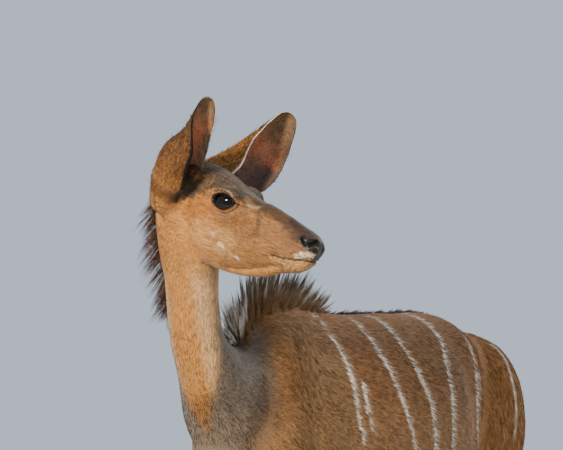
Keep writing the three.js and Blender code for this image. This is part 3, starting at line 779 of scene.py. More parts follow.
def body_colours(points, weights):
    """Colours of the torso, neck, legs and tail."""
    side = np.abs(points[:, 0])
    y, z = points[:, 1], points[:, 2]
    total = sum(w for w, _, _ in weights.values()) + 1e-9
    on_leg = sum(w for name, (w, _, _) in weights.items() if name.startswith("leg")) / total
    on_neck = (weights["neck"][0] + weights["head"][0]) / total
    colours = np.tile(linear(FAWN), (len(points), 1))
    colours = paint(colours, BACK_BROWN, 0.8 * step(1090, 1160, z) * step(150, 40, side))
    colours = paint(colours, BELLY_PALE, 0.9 * step(790, 680, z))
    colours = paint(colours, "#9a7044", 0.7 * step(1010, 900, z))
    colours = paint(colours, RUMP_WARM, 0.8 * step(250, 420, y))
    shoulder, _ = line_distance(np.stack([side, y, z], 1), [[90, -300, 1120], [140, -280, 980], [140, -300, 860]])
    colours = paint(colours, "#80603a", 0.7 * step(150, 30, shoulder))
    # Places seen from the side and a little ahead: the neck's edge over the shoulder. Right of that edge a painted
    # shadow of the neck lies on the shoulder.
    edge = 0.866 * side + 0.5 * y + 0.2 * np.maximum(1040 - z, 0) + 5 * ripple(points, 24, 6)
    before_shoulder = step(-232, -262, edge)
    colours = paint(colours, NECK_FAWN, step(0.3, 0.8, on_neck) * before_shoulder * step(840, 960, z))
    # Painted light: the sides of the neck are painted a paler cream where the neck stands lit before the shoulder
    colours = paint(colours, "#cdb088", 0.5 * on_neck * before_shoulder * step(22, 48, side) * step(1280, 1200, z))
    shaded = step(-262, -236, edge) * step(-95, -190, edge) * step(-330, -420, y) * step(1190, 1120, z)
    # Painted shadow of the neck on the shoulder, over the shoulder's own greyish hair
    colours = paint(colours, SHOULDER_GREY_AND_NECK_SHADOW, 0.8 * shaded)
    colours = paint(colours, LEG_FAWN, step(0.3, 0.9, on_leg) * step(820, 640, z))
    colours = paint(colours, SHANK_PALE, 0.7 * on_leg * step(420, 250, z))
    inner_thigh = step(62, 40, side) * step(760, 620, z) * on_leg
    colours = paint(colours, CHALK, 0.5 * inner_thigh)
    front_knee = np.exp(-(((z - 560) / 60) ** 2)) * step(86, 66, side) * (y < 0)
    colours = paint(colours, BLACK_BROWN, 0.55 * front_knee * on_leg)
    colours = paint(colours, BLACK_BROWN, 0.85 * on_leg * step(62, 44, z + 4 * ripple(points, 12, 7)))
    colours = paint(colours, CHALK, 0.75 * on_leg * np.exp(-(((z - 76) / 12) ** 2)))
    on_tail = weights["tail"][0] / total * step(520, 545, y)
    under_tail = step(560, 548, y + 4 * ripple(points, 10, 8))
    colours = paint(colours, CHALK, 0.9 * on_tail * under_tail)
    colours = paint(colours, BLACK_BROWN, 0.9 * on_tail * step(800, 740, z))
    colours = paint(colours, CHALK, 0.94 * stripe_share(points))
    ridge = step(15, 5, side + 3 * ripple(points, 14, 9)) * step(-440, -400, y) * step(400, 330, y)
    return paint(colours, BLACK_BROWN, 0.85 * ridge * step(1090, 1120, z))


# %% Markings of the head, and painted shade along the jaw: colour, line of ahead, out and up, and how far the colour reaches
CROWN_GREY = "#40301c"
CHEEK_ORANGE = "#8a5416"
FACE_TAN = "#7a5429"
PALE_BAR = "#b69e7b"
BLACK = "#090706"
HEAD_MARKS_AND_SHADE = [
    (CHEEK_ORANGE, [[20, 57, -100], [36, 60, -94], [60, 60, -110]], 27, 0.88),
    (CHEEK_ORANGE, [[20, 54, -110], [60, 56, -150]], 26, 0.3),
    ("#b98d5a", [[58, 56, -142], [100, 49, -150]], 30, 0.4),
    ("#7b532e", [[120, 44, -92], [190, 36, -110], [240, 31, -112]], 34, 0.45),
    (CROWN_GREY, [[-30, 50, -64], [0, 56, -68], [22, 57, -56], [48, 56, -42], [80, 52, -36], [106, 44, -44]], 17, 0.95),
    (CROWN_GREY, [[-34, 10, -14], [20, 26, -20], [60, 34, -26], [96, 34, -40]], 24, 0.92),
    (CROWN_GREY, [[-50, 24, -36], [-34, 44, -54], [-16, 50, -68]], 26, 0.95),
    ("#54402a", [[12, 14, -16], [57, 10, -20], [91, 12, -32], [126, 3, -44]], 9, 0.7),
    ("#362a20", [[16, 32, -25], [49, 30, -24], [77, 29, -30]], 6, 0.55),
    ("#271d16", [[77, 29, -30], [98, 29, -40], [119, 26, -48], [141, 17, -55], [149, 6, -54]], 6.2, 0.9),
    ("#312823", [[-6, 56, -84], [10, 57, -78], [-26, 52, -88]], 11, 0.7),
    ("#9c8a74", [[48, 60, -62], [55, 60, -53], [68, 61, -48], [83, 60, -46.5], [96, 58, -50], [103, 56, -56]], 1.7, 0.6),
    (PALE_BAR, [[123, 39, -58], [131, 41, -64], [140, 35, -66], [148, 23, -62], [153, 10, -57]], 2.8, 0.65),
    ("#3f2a19", [[156, 0, -56], [200, 8, -66], [240, 12, -76], [262, 20, -86]], 14, 0.9),
    ("#2a1b12", [[225, 4, -70], [262, 10, -80], [282, 10, -86]], 11, 0.85),
    ("#5f4027", [[224, 30, -90], [250, 30, -106]], 16, 0.6),
    ("#3a261a", [[244, 28, -86], [262, 30, -92]], 12, 0.8),
    (CHALK, [[74, 56, -138], [79, 54, -142]], 2.4, 0.3),
    ("#dcc8a4", [[92, 48, -154], [97, 45, -157], [102, 42, -160]], 3.2, 0.75),
    (CHALK, [[131, 33, -171.5], [137, 31, -174]], 2.5, 0.4),
    ("#d8c5a6", [[262, 29, -129], [272, 28, -121], [284, 20, -116], [292, 8, -118]], 5.2, 0.85),
    ("#b1854c", [[222, 28, -152], [262, 26, -148], [286, 12, -138]], 11, 0.8),
    ("#a97232", [[218, 18, -172], [170, 20, -192], [120, 22, -206]], 11, 0.75),
    # Painted shade over the groove of the jaw, and a dark painted shadow line in the groove itself
    ("#6d4826", [[141, 28, -182], [176, 26, -172], [203, 25, -164], [229, 24, -158]], 4.5, 0.5),
    ("#4a2d16", [[106, 22, -198], [132, 21, -194], [160, 22, -186], [185, 23, -174], [204, 24, -165], [231, 24, -156]], 2.3, 0.9),
    ("#4c3322", [[66, 20, -210], [50, 20, -210]], 8, 0.55),
    ("#55402e", [[153, 29, -68], [162, 39, -83], [165, 40, -100], [160, 41, -115], [153, 42, -124]], 2.4, 0.8),
    ("#55402e", [[163, 21, -67], [189, 21, -75], [209, 19, -77]], 1.8, 0.45),
    ("#1d130d", [[106, 57, -66], [115, 52, -67], [128, 47, -68.5], [133, 46, -67]], 1.8, 0.95),
    ("#6d4c30", [[70, 60, -98], [100, 58, -98]], 7, 0.35),
]


def head_colours(points, colours):
    """Adds the markings of the face, and painted shade along the jaw. A mark reaches across the face more than along
    it.
    """
    h = to_head(points)
    both = np.stack([h[:, 0], 0.35 * np.abs(h[:, 1]), h[:, 2]], axis=1)
    on_head = step(-80, -40, h[:, 0]) * step(1190, 1240, points[:, 2])
    fray = 1 + 0.2 * ripple(points, 11, 12) + 0.26 * ripple(points, 4, 13)
    mottle = 1 + 0.1 * ripple(points, 17, 15) + 0.16 * ripple(points, 6, 16)
    made = paint(colours, FACE_TAN, 0.9 * on_head * step(30, 120, h[:, 0]))
    for code, line, reach, strength in HEAD_MARKS_AND_SHADE:
        away, _ = line_distance(both, np.array(line) * [1, 0.35, 1])
        made = paint(made, code, strength * on_head * step(reach * 1.35, reach * 0.6, away * fray))
    speckle = step(0.3, 0.55, ripple(points, 3.2, 14))
    bristles = step(26, 8, line_distance(both, [[232, 10, -154], [286, 4, -138]])[0])
    bristles += step(11, 6, line_distance(both, [[256, 10, -128], [290, 5, -115]])[0])
    bristles += step(20, 8, line_distance(both, [[88, 21, -100], [106, 20, -96]])[0])
    made = paint(made, "#3f2d20", 0.75 * np.clip(bristles, 0, 1) * speckle * on_head)
    # The crown is grizzled: single pale hairs stand among the dark ones
    crown = step(32, 18, line_distance(both, [[-30, 4, -20], [60, 12, -30], [100, 12, -42]])[0])
    pale_hairs = step(0.15, 0.6, ripple(points, 4.4, 17)) * crown
    made = paint(made, "#8b6f50", 0.4 * pale_hairs * on_head)
    return made * (1 + (mottle - 1) * on_head)[:, None]


# %% Bare black skin: nose, lips and lid rims
def bare_share(points):
    """1 where the skin is naked, black and moist."""
    h = to_head(points)
    both = h * [1, 1, 1]
    both[:, 1] = np.abs(both[:, 1])
    on_head = points[:, 2] > 1200
    nose, _ = line_distance(both, [[290, 0, -92], [296, 0, -108], [292, 0, -120]])
    wing, _ = line_distance(both, [[290, 12, -92], [280, 22, -92], [268, 25, -97], [276, 25, -104], [290, 16, -106]])
    lip, along = line_distance(h[:, [0, 2]], MOUTH)
    share = np.maximum(step(15, 11, nose), step(9, 6, wing))
    nostril, _ = line_distance(h[:, [0, 2]], NOSTRIL)
    share = np.maximum(share, step(8, 5, nostril) * (h[:, 0] > 240))
    share = np.maximum(share, step(2.6, 1.2, lip) * (h[:, 0] > 202))
    gap = np.where(np.linalg.norm(both - EYE_PLACE, axis=1) < 50, lid_gap(both), 60)
    share = np.maximum(share, step(3.4, 1.8, gap))
    return share * on_head


def coat_colours(points, weights):
    colours = head_colours(points, body_colours(points, weights))
    return paint(colours, BLACK, bare_share(points))


points = points_of(skin.data)
weights, lie = part_weights(points)
skin_colours = coat_colours(points, weights)
skin_bare = bare_share(points)
print("colours for", len(points), "skin points, bare:", int((skin_bare > 0.5).sum()))

# %% [markdown]
# ## Materials
# Every material here is a layer over real stuff: hide under hair, hair itself, wet leather,
# a wet eye, horn. Pattern sizes are worked out from real millimetres.


# %% One helper for every node
def node(tree, kind, inputs=None, **settings):
    """Adds a node. Inputs are values or sockets of other nodes."""
    made = tree.nodes.new(kind)
    for name, value in settings.items():
        setattr(made, name, value)
    for name, value in (inputs or {}).items():
        if isinstance(value, bpy.types.NodeSocket):
            tree.links.new(value, made.inputs[name])
        else:
            made.inputs[name].default_value = value
    return made


def material(name, surface):
    """A material with one principled surface. Values that never change go on its own sockets."""
    made = bpy.data.materials.new(name)
    made.use_nodes = True
    tree = made.node_tree
    shader = tree.nodes["Principled BSDF"]
    for socket, value in surface.items():
        shader.inputs[socket].default_value = value
    return made, tree, shader


def per_mm(size):
    """Scale of a noise pattern whose features are this many millimetres wide, on points in metres."""
    return 1 / (size * MM)


# %% Colour from the coat attribute, made lighter and darker by a pattern
def tinted(tree, shader, pattern, dark, light):
    """Scales the coat's colour by a pattern between two strengths."""
    coat = node(tree, "ShaderNodeAttribute", attribute_name="coat")
    tone = node(tree, "ShaderNodeMapRange", {0: pattern, 1: 0.3, 2: 0.7, 3: dark, 4: light})
    scaled = node(tree, "ShaderNodeVectorMath", {0: coat.outputs["Color"]}, operation="SCALE")
    tree.links.new(tone.outputs[0], scaled.inputs["Scale"])
    tree.links.new(scaled.outputs[0], shader.inputs["Base Color"])


# %% Hide under short hair: matt, with fine ridges along the lie of the hair
HAIR_RIDGE = 2.6  # mm across, coarser than single hairs of 0.1 mm so that the ridges show
HAIR_RUN = 24.0


def lying_hair(tree, place, turn, run_axis):
    """Noise stretched along one axis, as hair lies, after the axes are turned."""
    scale = [per_mm(HAIR_RIDGE)] * 3
    scale[run_axis] = per_mm(HAIR_RUN)
    turned = node(tree, "ShaderNodeVectorRotate", {"Vector": place, "Angle": turn}, rotation_type="Y_AXIS")
    sized = node(tree, "ShaderNodeVectorMath", {0: turned.outputs[0], 1: scale}, operation="MULTIPLY")
    inputs = {"Vector": sized.outputs[0], "Scale": 1.0, "Detail": 3.0}
    return node(tree, "ShaderNodeTexNoise", inputs).outputs["Fac"]


def hide_material():
    look = {"Specular IOR Level": 0.3, "Sheen Weight": 0.12, "Sheen Roughness": 0.5}
    made, tree, shader = material("hide under short fawn hair", look)
    place = node(tree, "ShaderNodeTexCoord").outputs["Object"]
    bare = node(tree, "ShaderNodeAttribute", attribute_name="bare").outputs["Fac"]
    upright = node(tree, "ShaderNodeAttribute", attribute_name="upright").outputs["Fac"]
    face = node(tree, "ShaderNodeAttribute", attribute_name="face").outputs["Fac"]
    # Hair runs along the trunk, down the neck and legs, and back along the face
    trunk = lying_hair(tree, place, 0, 1)
    down = lying_hair(tree, place, 0, 2)
    muzzle = lying_hair(tree, place, -pitch, 0)
    body = node(tree, "ShaderNodeMix", {0: upright, 2: trunk, 3: down}).outputs[0]
    ridges = node(tree, "ShaderNodeMix", {0: face, 2: body, 3: muzzle}).outputs[0]
    tinted(tree, shader, ridges, 0.52, 1.4)
    # Wet leather of the nose: round cobbles and a moist shine
    shine = node(tree, "ShaderNodeMapRange", {0: bare, 1: 0.0, 2: 1.0, 3: 0.72, 4: 0.3})
    tree.links.new(shine.outputs[0], shader.inputs["Roughness"])
    cobbles = node(tree, "ShaderNodeTexVoronoi", {"Vector": place, "Scale": per_mm(1.8)})
    relief = node(tree, "ShaderNodeMix", {0: bare, 2: ridges, 3: cobbles.outputs["Distance"]})
    bump = node(tree, "ShaderNodeBump", {"Height": relief.outputs[0], "Strength": 0.5, "Distance": 0.8 * MM})
    tree.links.new(bump.outputs[0], shader.inputs["Normal"])
    return made


# %% Hair: a soft shine, with its colour carried by each tuft
def hair_material(name, roughness):
    made, tree, shader = material(name, {"Roughness": roughness, "Specular IOR Level": 0.35})
    place = node(tree, "ShaderNodeTexCoord").outputs["Object"]
    shaft = node(tree, "ShaderNodeTexNoise", {"Vector": place, "Scale": per_mm(2.5), "Detail": 2.0})
    tinted(tree, shader, shaft.outputs["Fac"], 0.84, 1.16)
    return made


HIDE = hide_material()
FUR = hair_material("short fawn hair", 0.62)
MANE = hair_material("coarse mane hair", 0.5)
print("materials:", [made.name for made in (HIDE, FUR, MANE)])

# %% Give the skin its colours, and set out the tiles of a flat map of its parts
UV_TILES = {
    "torso": (0.00, 0.00, 0.50, 0.50),
    "neck": (0.50, 0.00, 0.25, 0.30),
    "head": (0.50, 0.30, 0.50, 0.40),
    "tail": (0.75, 0.00, 0.08, 0.30),
    "leg_front_left": (0.00, 0.50, 0.12, 0.50),
    "leg_front_right": (0.12, 0.50, 0.12, 0.50),
    "leg_hind_left": (0.24, 0.50, 0.12, 0.50),
    "leg_hind_right": (0.36, 0.50, 0.12, 0.50),
    "ear_left": (0.50, 0.72, 0.24, 0.27),
    "ear_right": (0.75, 0.72, 0.24, 0.27),
    "manes": (0.84, 0.00, 0.15, 0.30),
}


def unwrap(weights):
    """Place of each point on the flat map: each part is rolled out on its own tile."""
    names = list(weights)
    owner = np.argmax(np.stack([weights[name][0] for name in names]), axis=0)
    flat = np.zeros((len(owner), 2))
    for k, name in enumerate(names):
        mine = owner == k
        left, bottom, width, height = UV_TILES[name]
        _, share, angle = weights[name]
        flat[mine, 0] = left + width * (0.02 + 0.96 * (angle[mine] / (2 * math.pi) + 0.5))
        flat[mine, 1] = bottom + height * (0.02 + 0.96 * share[mine])
    return flat


def add_attribute(mesh, name, kind, values):
    """A value for every point of a mesh."""
    made = mesh.attributes.new(name, kind, "POINT")
    field = {"FLOAT": "value", "FLOAT_VECTOR": "vector", "FLOAT_COLOR": "color"}[kind]
    if kind == "FLOAT_COLOR":
        values = np.concatenate([values, np.ones((len(values), 1))], axis=1)
    made.data.foreach_set(field, np.asarray(values, np.float32).ravel())


total = sum(w for w, _, _ in weights.values())
upright = sum(w for name, (w, _, _) in weights.items() if name not in ("torso", "head")) / total
add_attribute(skin.data, "coat", "FLOAT_COLOR", skin_colours * 0.92)
add_attribute(skin.data, "bare", "FLOAT", skin_bare)
add_attribute(skin.data, "upright", "FLOAT", step(0.35, 0.65, upright))
add_attribute(skin.data, "face", "FLOAT", step(0.35, 0.65, weights["head"][0] / total))
skin.data.materials.append(HIDE)
skin.data.polygons.foreach_set("use_smooth", [True] * len(skin.data.polygons))
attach(skin, "root")
limbs = [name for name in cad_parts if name.startswith(("foreleg", "hindleg"))]
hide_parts("head", "neck", "torso", "tail", *limbs)
print("skin stands for", 4 + len(limbs), "solids")

# %% [markdown]
# ## Ears
# A kudu's ear is a deep cup of thin gristle, rolled like a leaf at its root. We stretch a sphere
# again, but round a C-shaped section: half of each ring is the back of the ear and half its
# inside, and the rims stay round.

# %% The cup
# Each ear's length, turn of its tip, extra roll of its forward rim, slimness, bow and swelling
EAR_WALL = 3.4
EAR_SHAPES = {"ear_right": (241, 3, -55, -0.06, 0.34, -2, 13), "ear_left": (250, 38, 0, 0.2, 0, 16, 0)}


def ear_points(name, places, angles):
    """Points of an ear. The angle runs over its back from rim to rim, then over its inside."""
    side, axis, opening, _, cupped = EARS[name]
    length, bulge, turned, wrap, slim, bow, swell = EAR_SHAPES[name]
    root, along, facing, across = ear_axes(side, axis, opening)
    share, half, rolled = between(EAR, places).T
    half = half * (1 - slim * step(0.3, 0.75, share))
    roll = np.radians(rolled * cupped)
    radius = half / roll
    turning = (np.radians(turned) * step(0.5, 0.95, share))[:, None]
    open_way = facing * np.cos(turning) + across * np.sin(turning)
    aside = np.cross(along, open_way)
    place = -np.cos(angles)
    wall = EAR_WALL / 2 * np.sin(angles) * (1 - 0.45 * share)
    ridges = 0.9 * np.cos(place * 9) * step(0.08, 0.3, share) * step(0.9, 0.6, share)
    wall = wall + np.where(np.sin(angles) < 0, ridges * np.abs(np.sin(angles)), 0)
    wall = wall + 0.7 * ripple(np.stack([share * length, place * half], 1), 26, 41) * step(0.1, 0.3, share)
    turn = roll * place * np.where(place < 0, 1 + wrap * step(0.68, 0.4, share), 1)
    lean = bow * share**2 + swell * np.sin(math.pi * share) * step(0.3, 0.7, share)
    spot = root + along * (share * length)[:, None] + facing * lean[:, None]
    spot = spot + aside * (side * bulge * np.sin(math.pi * share))[:, None]
    spot = spot - open_way * (np.cos(turn) * (radius + wall))[:, None]
    return spot + aside * (np.sin(turn) * (radius + wall))[:, None], share, side * place


def make_ear(name):
    """One ear as a closed shell, with its points' share of the length and place across."""
    rings, sides = 84, 132
    ball = bmesh.new()
    bmesh.ops.create_uvsphere(ball, u_segments=sides, v_segments=rings, radius=1)
    at = np.array([v.co for v in ball.verts])
    down = np.arccos(np.clip(at[:, 2], -1, 1)) / math.pi * rings
    places = np.clip((down - 1) / (rings - 2), 0, 1) * (len(EAR) - 1)
    angles = np.arctan2(at[:, 1], at[:, 0]) % (2 * math.pi)
    spots, share, across = ear_points(name, places, angles)
    pole = np.hypot(at[:, 0], at[:, 1]) < 1e-4
    spots[pole] = ear_points(name, places[pole], np.full(pole.sum(), math.pi / 2))[0]
    for vertex, spot in zip(ball.verts, to_frame(spots)):
        vertex.co = spot
    bmesh.ops.recalc_face_normals(ball, faces=ball.faces)
    piece = put(mesh_from([ball], f"{name}_cup"), f"{name}_cup")
    return piece, share, across, np.where(pole, 0, np.sin(angles))


# %% Colours of an ear: its share of the length, place across (+1 is the outer rim) and side
def ear_colours(points, share, across, outer, pale):
    """Brown outside with a grey tip, red-brown inside with pale rims and a dark patch low down. The inside's colours
    are painted lighter, as painted light in the shaded cup, and the back carries a painted highlight near the root.
    """
    cloud = ripple(points, 16, 21)
    from_rim = (1 - np.abs(across)) * np.interp(share, np.array(EAR)[:, 0], np.array(EAR)[:, 1])
    back = np.tile(linear("#744e2a"), (len(points), 1))
    # Painted highlight: the back is a lighter orange-tan near the root
    back = paint(back, "#9f6c37", 0.85 * step(0.4, 0.1, share + 0.05 * cloud))
    back = paint(back, "#543a24", 0.6 * step(0.35, 0.7, share))
    back = paint(back, "#a56d31", 0.85 * step(-0.15, -0.45, across))
    back = paint(back, "#6c5a43", 0.8 * step(0.78, 0.92, share + 0.04 * cloud))
    # The inside is painted lighter than its red-brown, standing in for light in the shaded cup: painted light
    inside = np.tile(linear("#cb8563"), (len(points), 1))
    inside = paint(inside, "#955a40", 0.7 * step(0.4, 0.0, np.abs(across + 0.15)) * step(0.8, 0.4, share))
    inside = paint(inside, "#756650", 0.75 * step(26, 9, from_rim + 5 * cloud))
    inside = paint(inside, "#6a5944", 0.9 * step(0.6, 0.84, share + 0.05 * cloud))
    patch = step(-0.1, 0.3, across + 0.12 * cloud) * step(0.6, 0.5, share - 0.08 * across + 0.04 * cloud)
    inside = paint(inside, "#6b5d56", (0.95 if pale else 0.5) * patch)
    ribs = step(0.55, 0.95, np.cos(across * 11 + 5 * share + 0.4)) * step(0.9, 0.6, share)
    inside = paint(inside, "#a78a6f", 0.3 * ribs)
    # The forward rim of her left ear curls over, so its back shows the colours of the inside
    curl = step(0.35, 0.6, across) * pale
    back = back + (inside * 0.55 - back) * curl[:, None]
    made = np.where((outer > 0)[:, None], back, inside)
    inner_line = step(4.5, 2.5, np.abs(from_rim - 5)) * (outer < 0) * (across < 0) * step(0.25, 0.4, share)
    made = paint(made, "#3a2418", 0.7 * inner_line)
    black = step(9.0, 7.0, from_rim) * (across > 0) * step(0.99, 0.93, share)
    made = paint(made, "#070505", 0.98 * black * np.where(outer > 0, 1, step(3.0, 1.6, from_rim)))
    thin_line = step(2.6, 1.2, np.abs(from_rim - 5.5)) * (outer < 0) * (across > 0) * step(0.94, 0.86, share)
    made = paint(made, "#d9cbb4", (0 if pale else 0.85) * thin_line * step(0.3, 0.42, share))
    white = step(3.6, 2.2, from_rim) * (across < 0) * step(0.16, 0.34, share)
    return paint(made, "#efe6d6", (0.95 if pale else 0.35) * white)


def ear_leather():
    """Thin gristle with down on it: a soft shine and faint ribs."""
    look = {"Roughness": 0.7, "Specular IOR Level": 0.15}
    made, tree, shader = material("downy ear leather", look)
    place = node(tree, "ShaderNodeTexCoord").outputs["Object"]
    down = node(tree, "ShaderNodeTexNoise", {"Vector": place, "Scale": per_mm(2.2), "Detail": 4.0}).outputs["Fac"]
    tinted(tree, shader, down, 0.78, 1.2)
    bump = node(tree, "ShaderNodeBump", {"Height": down, "Strength": 0.35, "Distance": 0.5 * MM})
    tree.links.new(bump.outputs[0], shader.inputs["Normal"])
    return made


EAR_SKIN = ear_leather()
ears = {}
for name in EARS:
    piece, share, across, outer = make_ear(name)
    ear_spots = points_of(piece.data)
    colours = ear_colours(ear_spots, share, across, outer, name == "ear_left")
    add_attribute(piece.data, "coat", "FLOAT_COLOR", colours)
    piece.data.materials.append(EAR_SKIN)
    piece.data.polygons.foreach_set("use_smooth", [True] * len(piece.data.polygons))
    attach(piece, "root")
    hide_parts(name)
    ears[name] = (piece, share, across, outer)
print("ears:", [len(piece.data.vertices) for piece, *_ in ears.values()])

# %% [markdown]
# ## Eyes
# The eye is almost black: a very dark brown iris round a pupil that lies level, like a letter
# slot. What makes it live is the wet, clear surface. The ball is a true sphere, and its front
# bulges a little where the cornea is.

# %% Two eyes
def eye_material():
    """A wet, clear surface over dark brown."""
    made, tree, shader = material("wet dark eye", {"Roughness": 0.05, "IOR": 1.38})
    place = node(tree, "ShaderNodeTexCoord").outputs["Object"]
    fibres = node(tree, "ShaderNodeTexNoise", {"Vector": place, "Scale": per_mm(1.5), "Detail": 3.0})
    tinted(tree, shader, fibres.outputs["Fac"], 0.6, 1.3)
    return made


EYE_WET = eye_material()
for name, side in (("eye_left", 1), ("eye_right", -1)):
    ball = bmesh.new()
    bmesh.ops.create_uvsphere(ball, u_segments=64, v_segments=48, radius=1)
    mesh = mesh_from([ball], f"{name}_ball")
    way = np.empty(len(mesh.vertices) * 3, np.float32)
    mesh.vertices.foreach_get("co", way)
    way = way.reshape(-1, 3).astype(float)
    gaze = unit(np.array([0.42, side * 0.9, 0.05]))
    facing = way @ gaze
    size = 0.96 + 0.05 * step(0.86, 0.98, facing)
    spots = from_head(EYE_PLACE * [1, side, 1] + way * EYE_FLAT * size[:, None])
    set_points(mesh, spots)
    level = np.cross(gaze, [0, 0, 1])
    across = np.abs(way @ unit(level))
    upright = np.abs(way[:, 2] - 0.05)
    pupil = step(1.15, 0.9, np.hypot(across / 0.34, upright / 0.17)) * (facing > 0)
    shade = np.tile(linear("#050302"), (len(way), 1))
    shade = paint(shade, "#0d0604", step(0.62, 0.8, facing))
    shade = paint(shade, "#020101", pupil)
    add_attribute(mesh, "coat", "FLOAT_COLOR", shade)
    mesh.materials.append(EYE_WET)
    mesh.polygons.foreach_set("use_smooth", [True] * len(mesh.polygons))
    eye = put(mesh, f"{name}_ball")
    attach(eye, "root")
    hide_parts(name)
print("eyes made")

# %% [markdown]
# ## Claws
# A kudu stands on two claws on each foot, blunt behind and pointed in front, and carries two
# small dewclaws behind the pastern. We cut a cylinder into levels with planes and move each level
# to the outline of the solid claw. The soles stay flat, because they stand on the floor.

# %% One claw
TOE = np.array([27.0, 78.0, 54.0])
TOE_SPREAD = 15
TOE_LEVELS = [[0, 0.97, 0], [0.12, 1, 0.02], [0.45, 0.84, 0.1], [0.78, 0.72, 0.17], [1, 0.55, 0.2]]


def horn_material():
    """Grey-black horn with growth lines that run level round the claw."""
    made, tree, shader = material("grey horn", {"Specular IOR Level": 0.45})
    place = node(tree, "ShaderNodeTexCoord").outputs["Object"]
    levels = node(tree, "ShaderNodeVectorMath", {0: place, 1: (60, 60, per_mm(3.5))}, operation="MULTIPLY")
    lines = node(tree, "ShaderNodeTexNoise", {"Vector": levels.outputs[0], "Scale": 1.0, "Detail": 4.0})
    tinted(tree, shader, lines.outputs["Fac"], 0.7, 1.35)
    worn = node(tree, "ShaderNodeMapRange", {0: lines.outputs["Fac"], 1: 0.3, 2: 0.7, 3: 0.35, 4: 0.6})
    tree.links.new(worn.outputs[0], shader.inputs["Roughness"])
    bump = node(tree, "ShaderNodeBump", {"Height": lines.outputs["Fac"], "Strength": 0.4, "Distance": 0.6 * MM})
    tree.links.new(bump.outputs[0], shader.inputs["Normal"])
    return made


def claw(rows, side, stride, way):
    """A cylinder cut into levels and shaped as one claw."""
    work = bmesh.new()
    bmesh.ops.create_cone(work, cap_ends=True, segments=36, radius1=1, radius2=1, depth=1)
    bmesh.ops.translate(work, verts=work.verts, vec=(0, 0, 0.5))
    for height in (0.02, 0.06, 0.12, 0.2, 0.3, 0.4, 0.5, 0.6, 0.7, 0.8, 0.9):
        cut = [*work.verts, *work.edges, *work.faces]
        bmesh.ops.bisect_plane(work, geom=cut, plane_co=(0, 0, height), plane_no=(0, 0, 1))
    at = np.array([v.co for v in work.verts])
    level = np.array(TOE_LEVELS)
    size = np.interp(at[:, 2], level[:, 0], level[:, 1]) * np.where(at[:, 2] < 0.001, 0.985, 1)
    set_back = np.interp(at[:, 2], level[:, 0], level[:, 2])
    ahead, outward = at[:, 0], at[:, 1] * np.where(at[:, 1] > 0, 1, 0.8)
    narrow = np.where(ahead > 0, 1 - 0.35 * ahead**2, 1)
    out, y = rows[-1][:2]
    width, length, height = TOE
    spots = np.stack(
        [
            side * out + way * (TOE_SPREAD + outward * narrow * width * size / 2),
            y + stride - 4 + length * set_back - ahead * length * size / 2,
            height * at[:, 2],
        ],
        axis=1,
    )
    for vertex, spot in zip(work.verts, to_frame(spots)):
        vertex.co = spot
    bmesh.ops.recalc_face_normals(work, faces=work.faces)
    return work


HORN = horn_material()


def finish_horn(piece):
    """Gives a horn piece its colours: greyer towards the worn edge of the sole."""
    points = points_of(piece.data)
    colours = np.tile(linear("#2b2724"), (len(points), 1))
    colours = paint(colours, "#5a5148", 0.7 * step(16, 2, points[:, 2]))
    add_attribute(piece.data, "coat", "FLOAT_COLOR", colours)
    piece.data.materials.append(HORN)
    piece.data.polygons.foreach_set("use_smooth", [True] * len(piece.data.polygons))
    piece.data.set_sharp_from_angle(angle=math.radians(50))
    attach(piece, "root")


for leg, row in LEGS.items():
    for way, which in ((1, "outer"), (-1, "inner")):
        piece = put(mesh_from([claw(*row, way)], f"claw_{leg}_{which}"), f"claw_{leg}_{which}")
        finish_horn(piece)
        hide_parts(f"hoof_{leg}_{which}")

small = []
for rows, side, stride in LEGS.values():
    for way in (-1, 1):
        ball = bmesh.new()
        bmesh.ops.create_uvsphere(ball, u_segments=16, v_segments=12, radius=1)
        bmesh.ops.scale(ball, verts=ball.verts, vec=(7 * MM, 8 * MM, 12 * MM))
        lean = Matrix.Rotation(math.radians(25), 3, "X")
        bmesh.ops.rotate(ball, verts=ball.verts, cent=(0, 0, 0), matrix=lean)
        out, y = rows[-3][:2]
        place = to_frame(np.array([side * out + way * 12, y + stride + 24, 86]))
        bmesh.ops.translate(ball, verts=ball.verts, vec=place)
        small.append(ball)
finish_horn(put(mesh_from(small, "dewclaws"), "dewclaws"))
print("claws: 8, dewclaws:", len(small))

# %% [markdown]
# ## Hair
# A hair lock is a three-sided cone. An operator makes one, planes cut it into lengths, and
# numpy arrays repeat it thousands of times in one mesh. Lying body hair needs only the cone
# itself. Mane locks need cuts so that they can bend.

# %% One cone to repeat
def cone_pattern(cuts):
    """Share of the length and direction across of each point of a thin cone, and its triangles."""
    work = bmesh.new()
    bmesh.ops.create_cone(work, cap_ends=True, segments=3, radius1=1, radius2=0, depth=1)
    bmesh.ops.translate(work, verts=work.verts, vec=(0, 0, 0.5))
    bmesh.ops.remove_doubles(work, verts=work.verts, dist=1e-4)
    for cut in cuts:
        parts = [*work.verts, *work.edges, *work.faces]
        bmesh.ops.bisect_plane(work, geom=parts, plane_co=(0, 0, cut), plane_no=(0, 0, 1))
    bmesh.ops.triangulate(work, faces=work.faces)
    bmesh.ops.recalc_face_normals(work, faces=work.faces)
    at = np.array([v.co for v in work.verts])
    faces = np.array([[v.index for v in face.verts] for face in work.faces])
    work.free()
    across = at[:, :2] / np.maximum(np.linalg.norm(at[:, :2], axis=1, keepdims=True), 1e-6)
    return at[:, 2], across * (at[:, 2:3] < 0.999), faces


TUFT = cone_pattern([])
LOCK = cone_pattern([0.36, 0.7])
print("triangles in a tuft and in a lock:", len(TUFT[2]), len(LOCK[2]))


# %% Repeat it
def bake_map(mesh, flat):
    """A flat map, one place for each point."""
    corners = np.empty(len(mesh.loops), np.int32)
    mesh.loops.foreach_get("vertex_index", corners)
    layer = mesh.uv_layers.new(name="OFBake")
    layer.uv.foreach_set("vector", flat[corners].astype(np.float32).ravel())


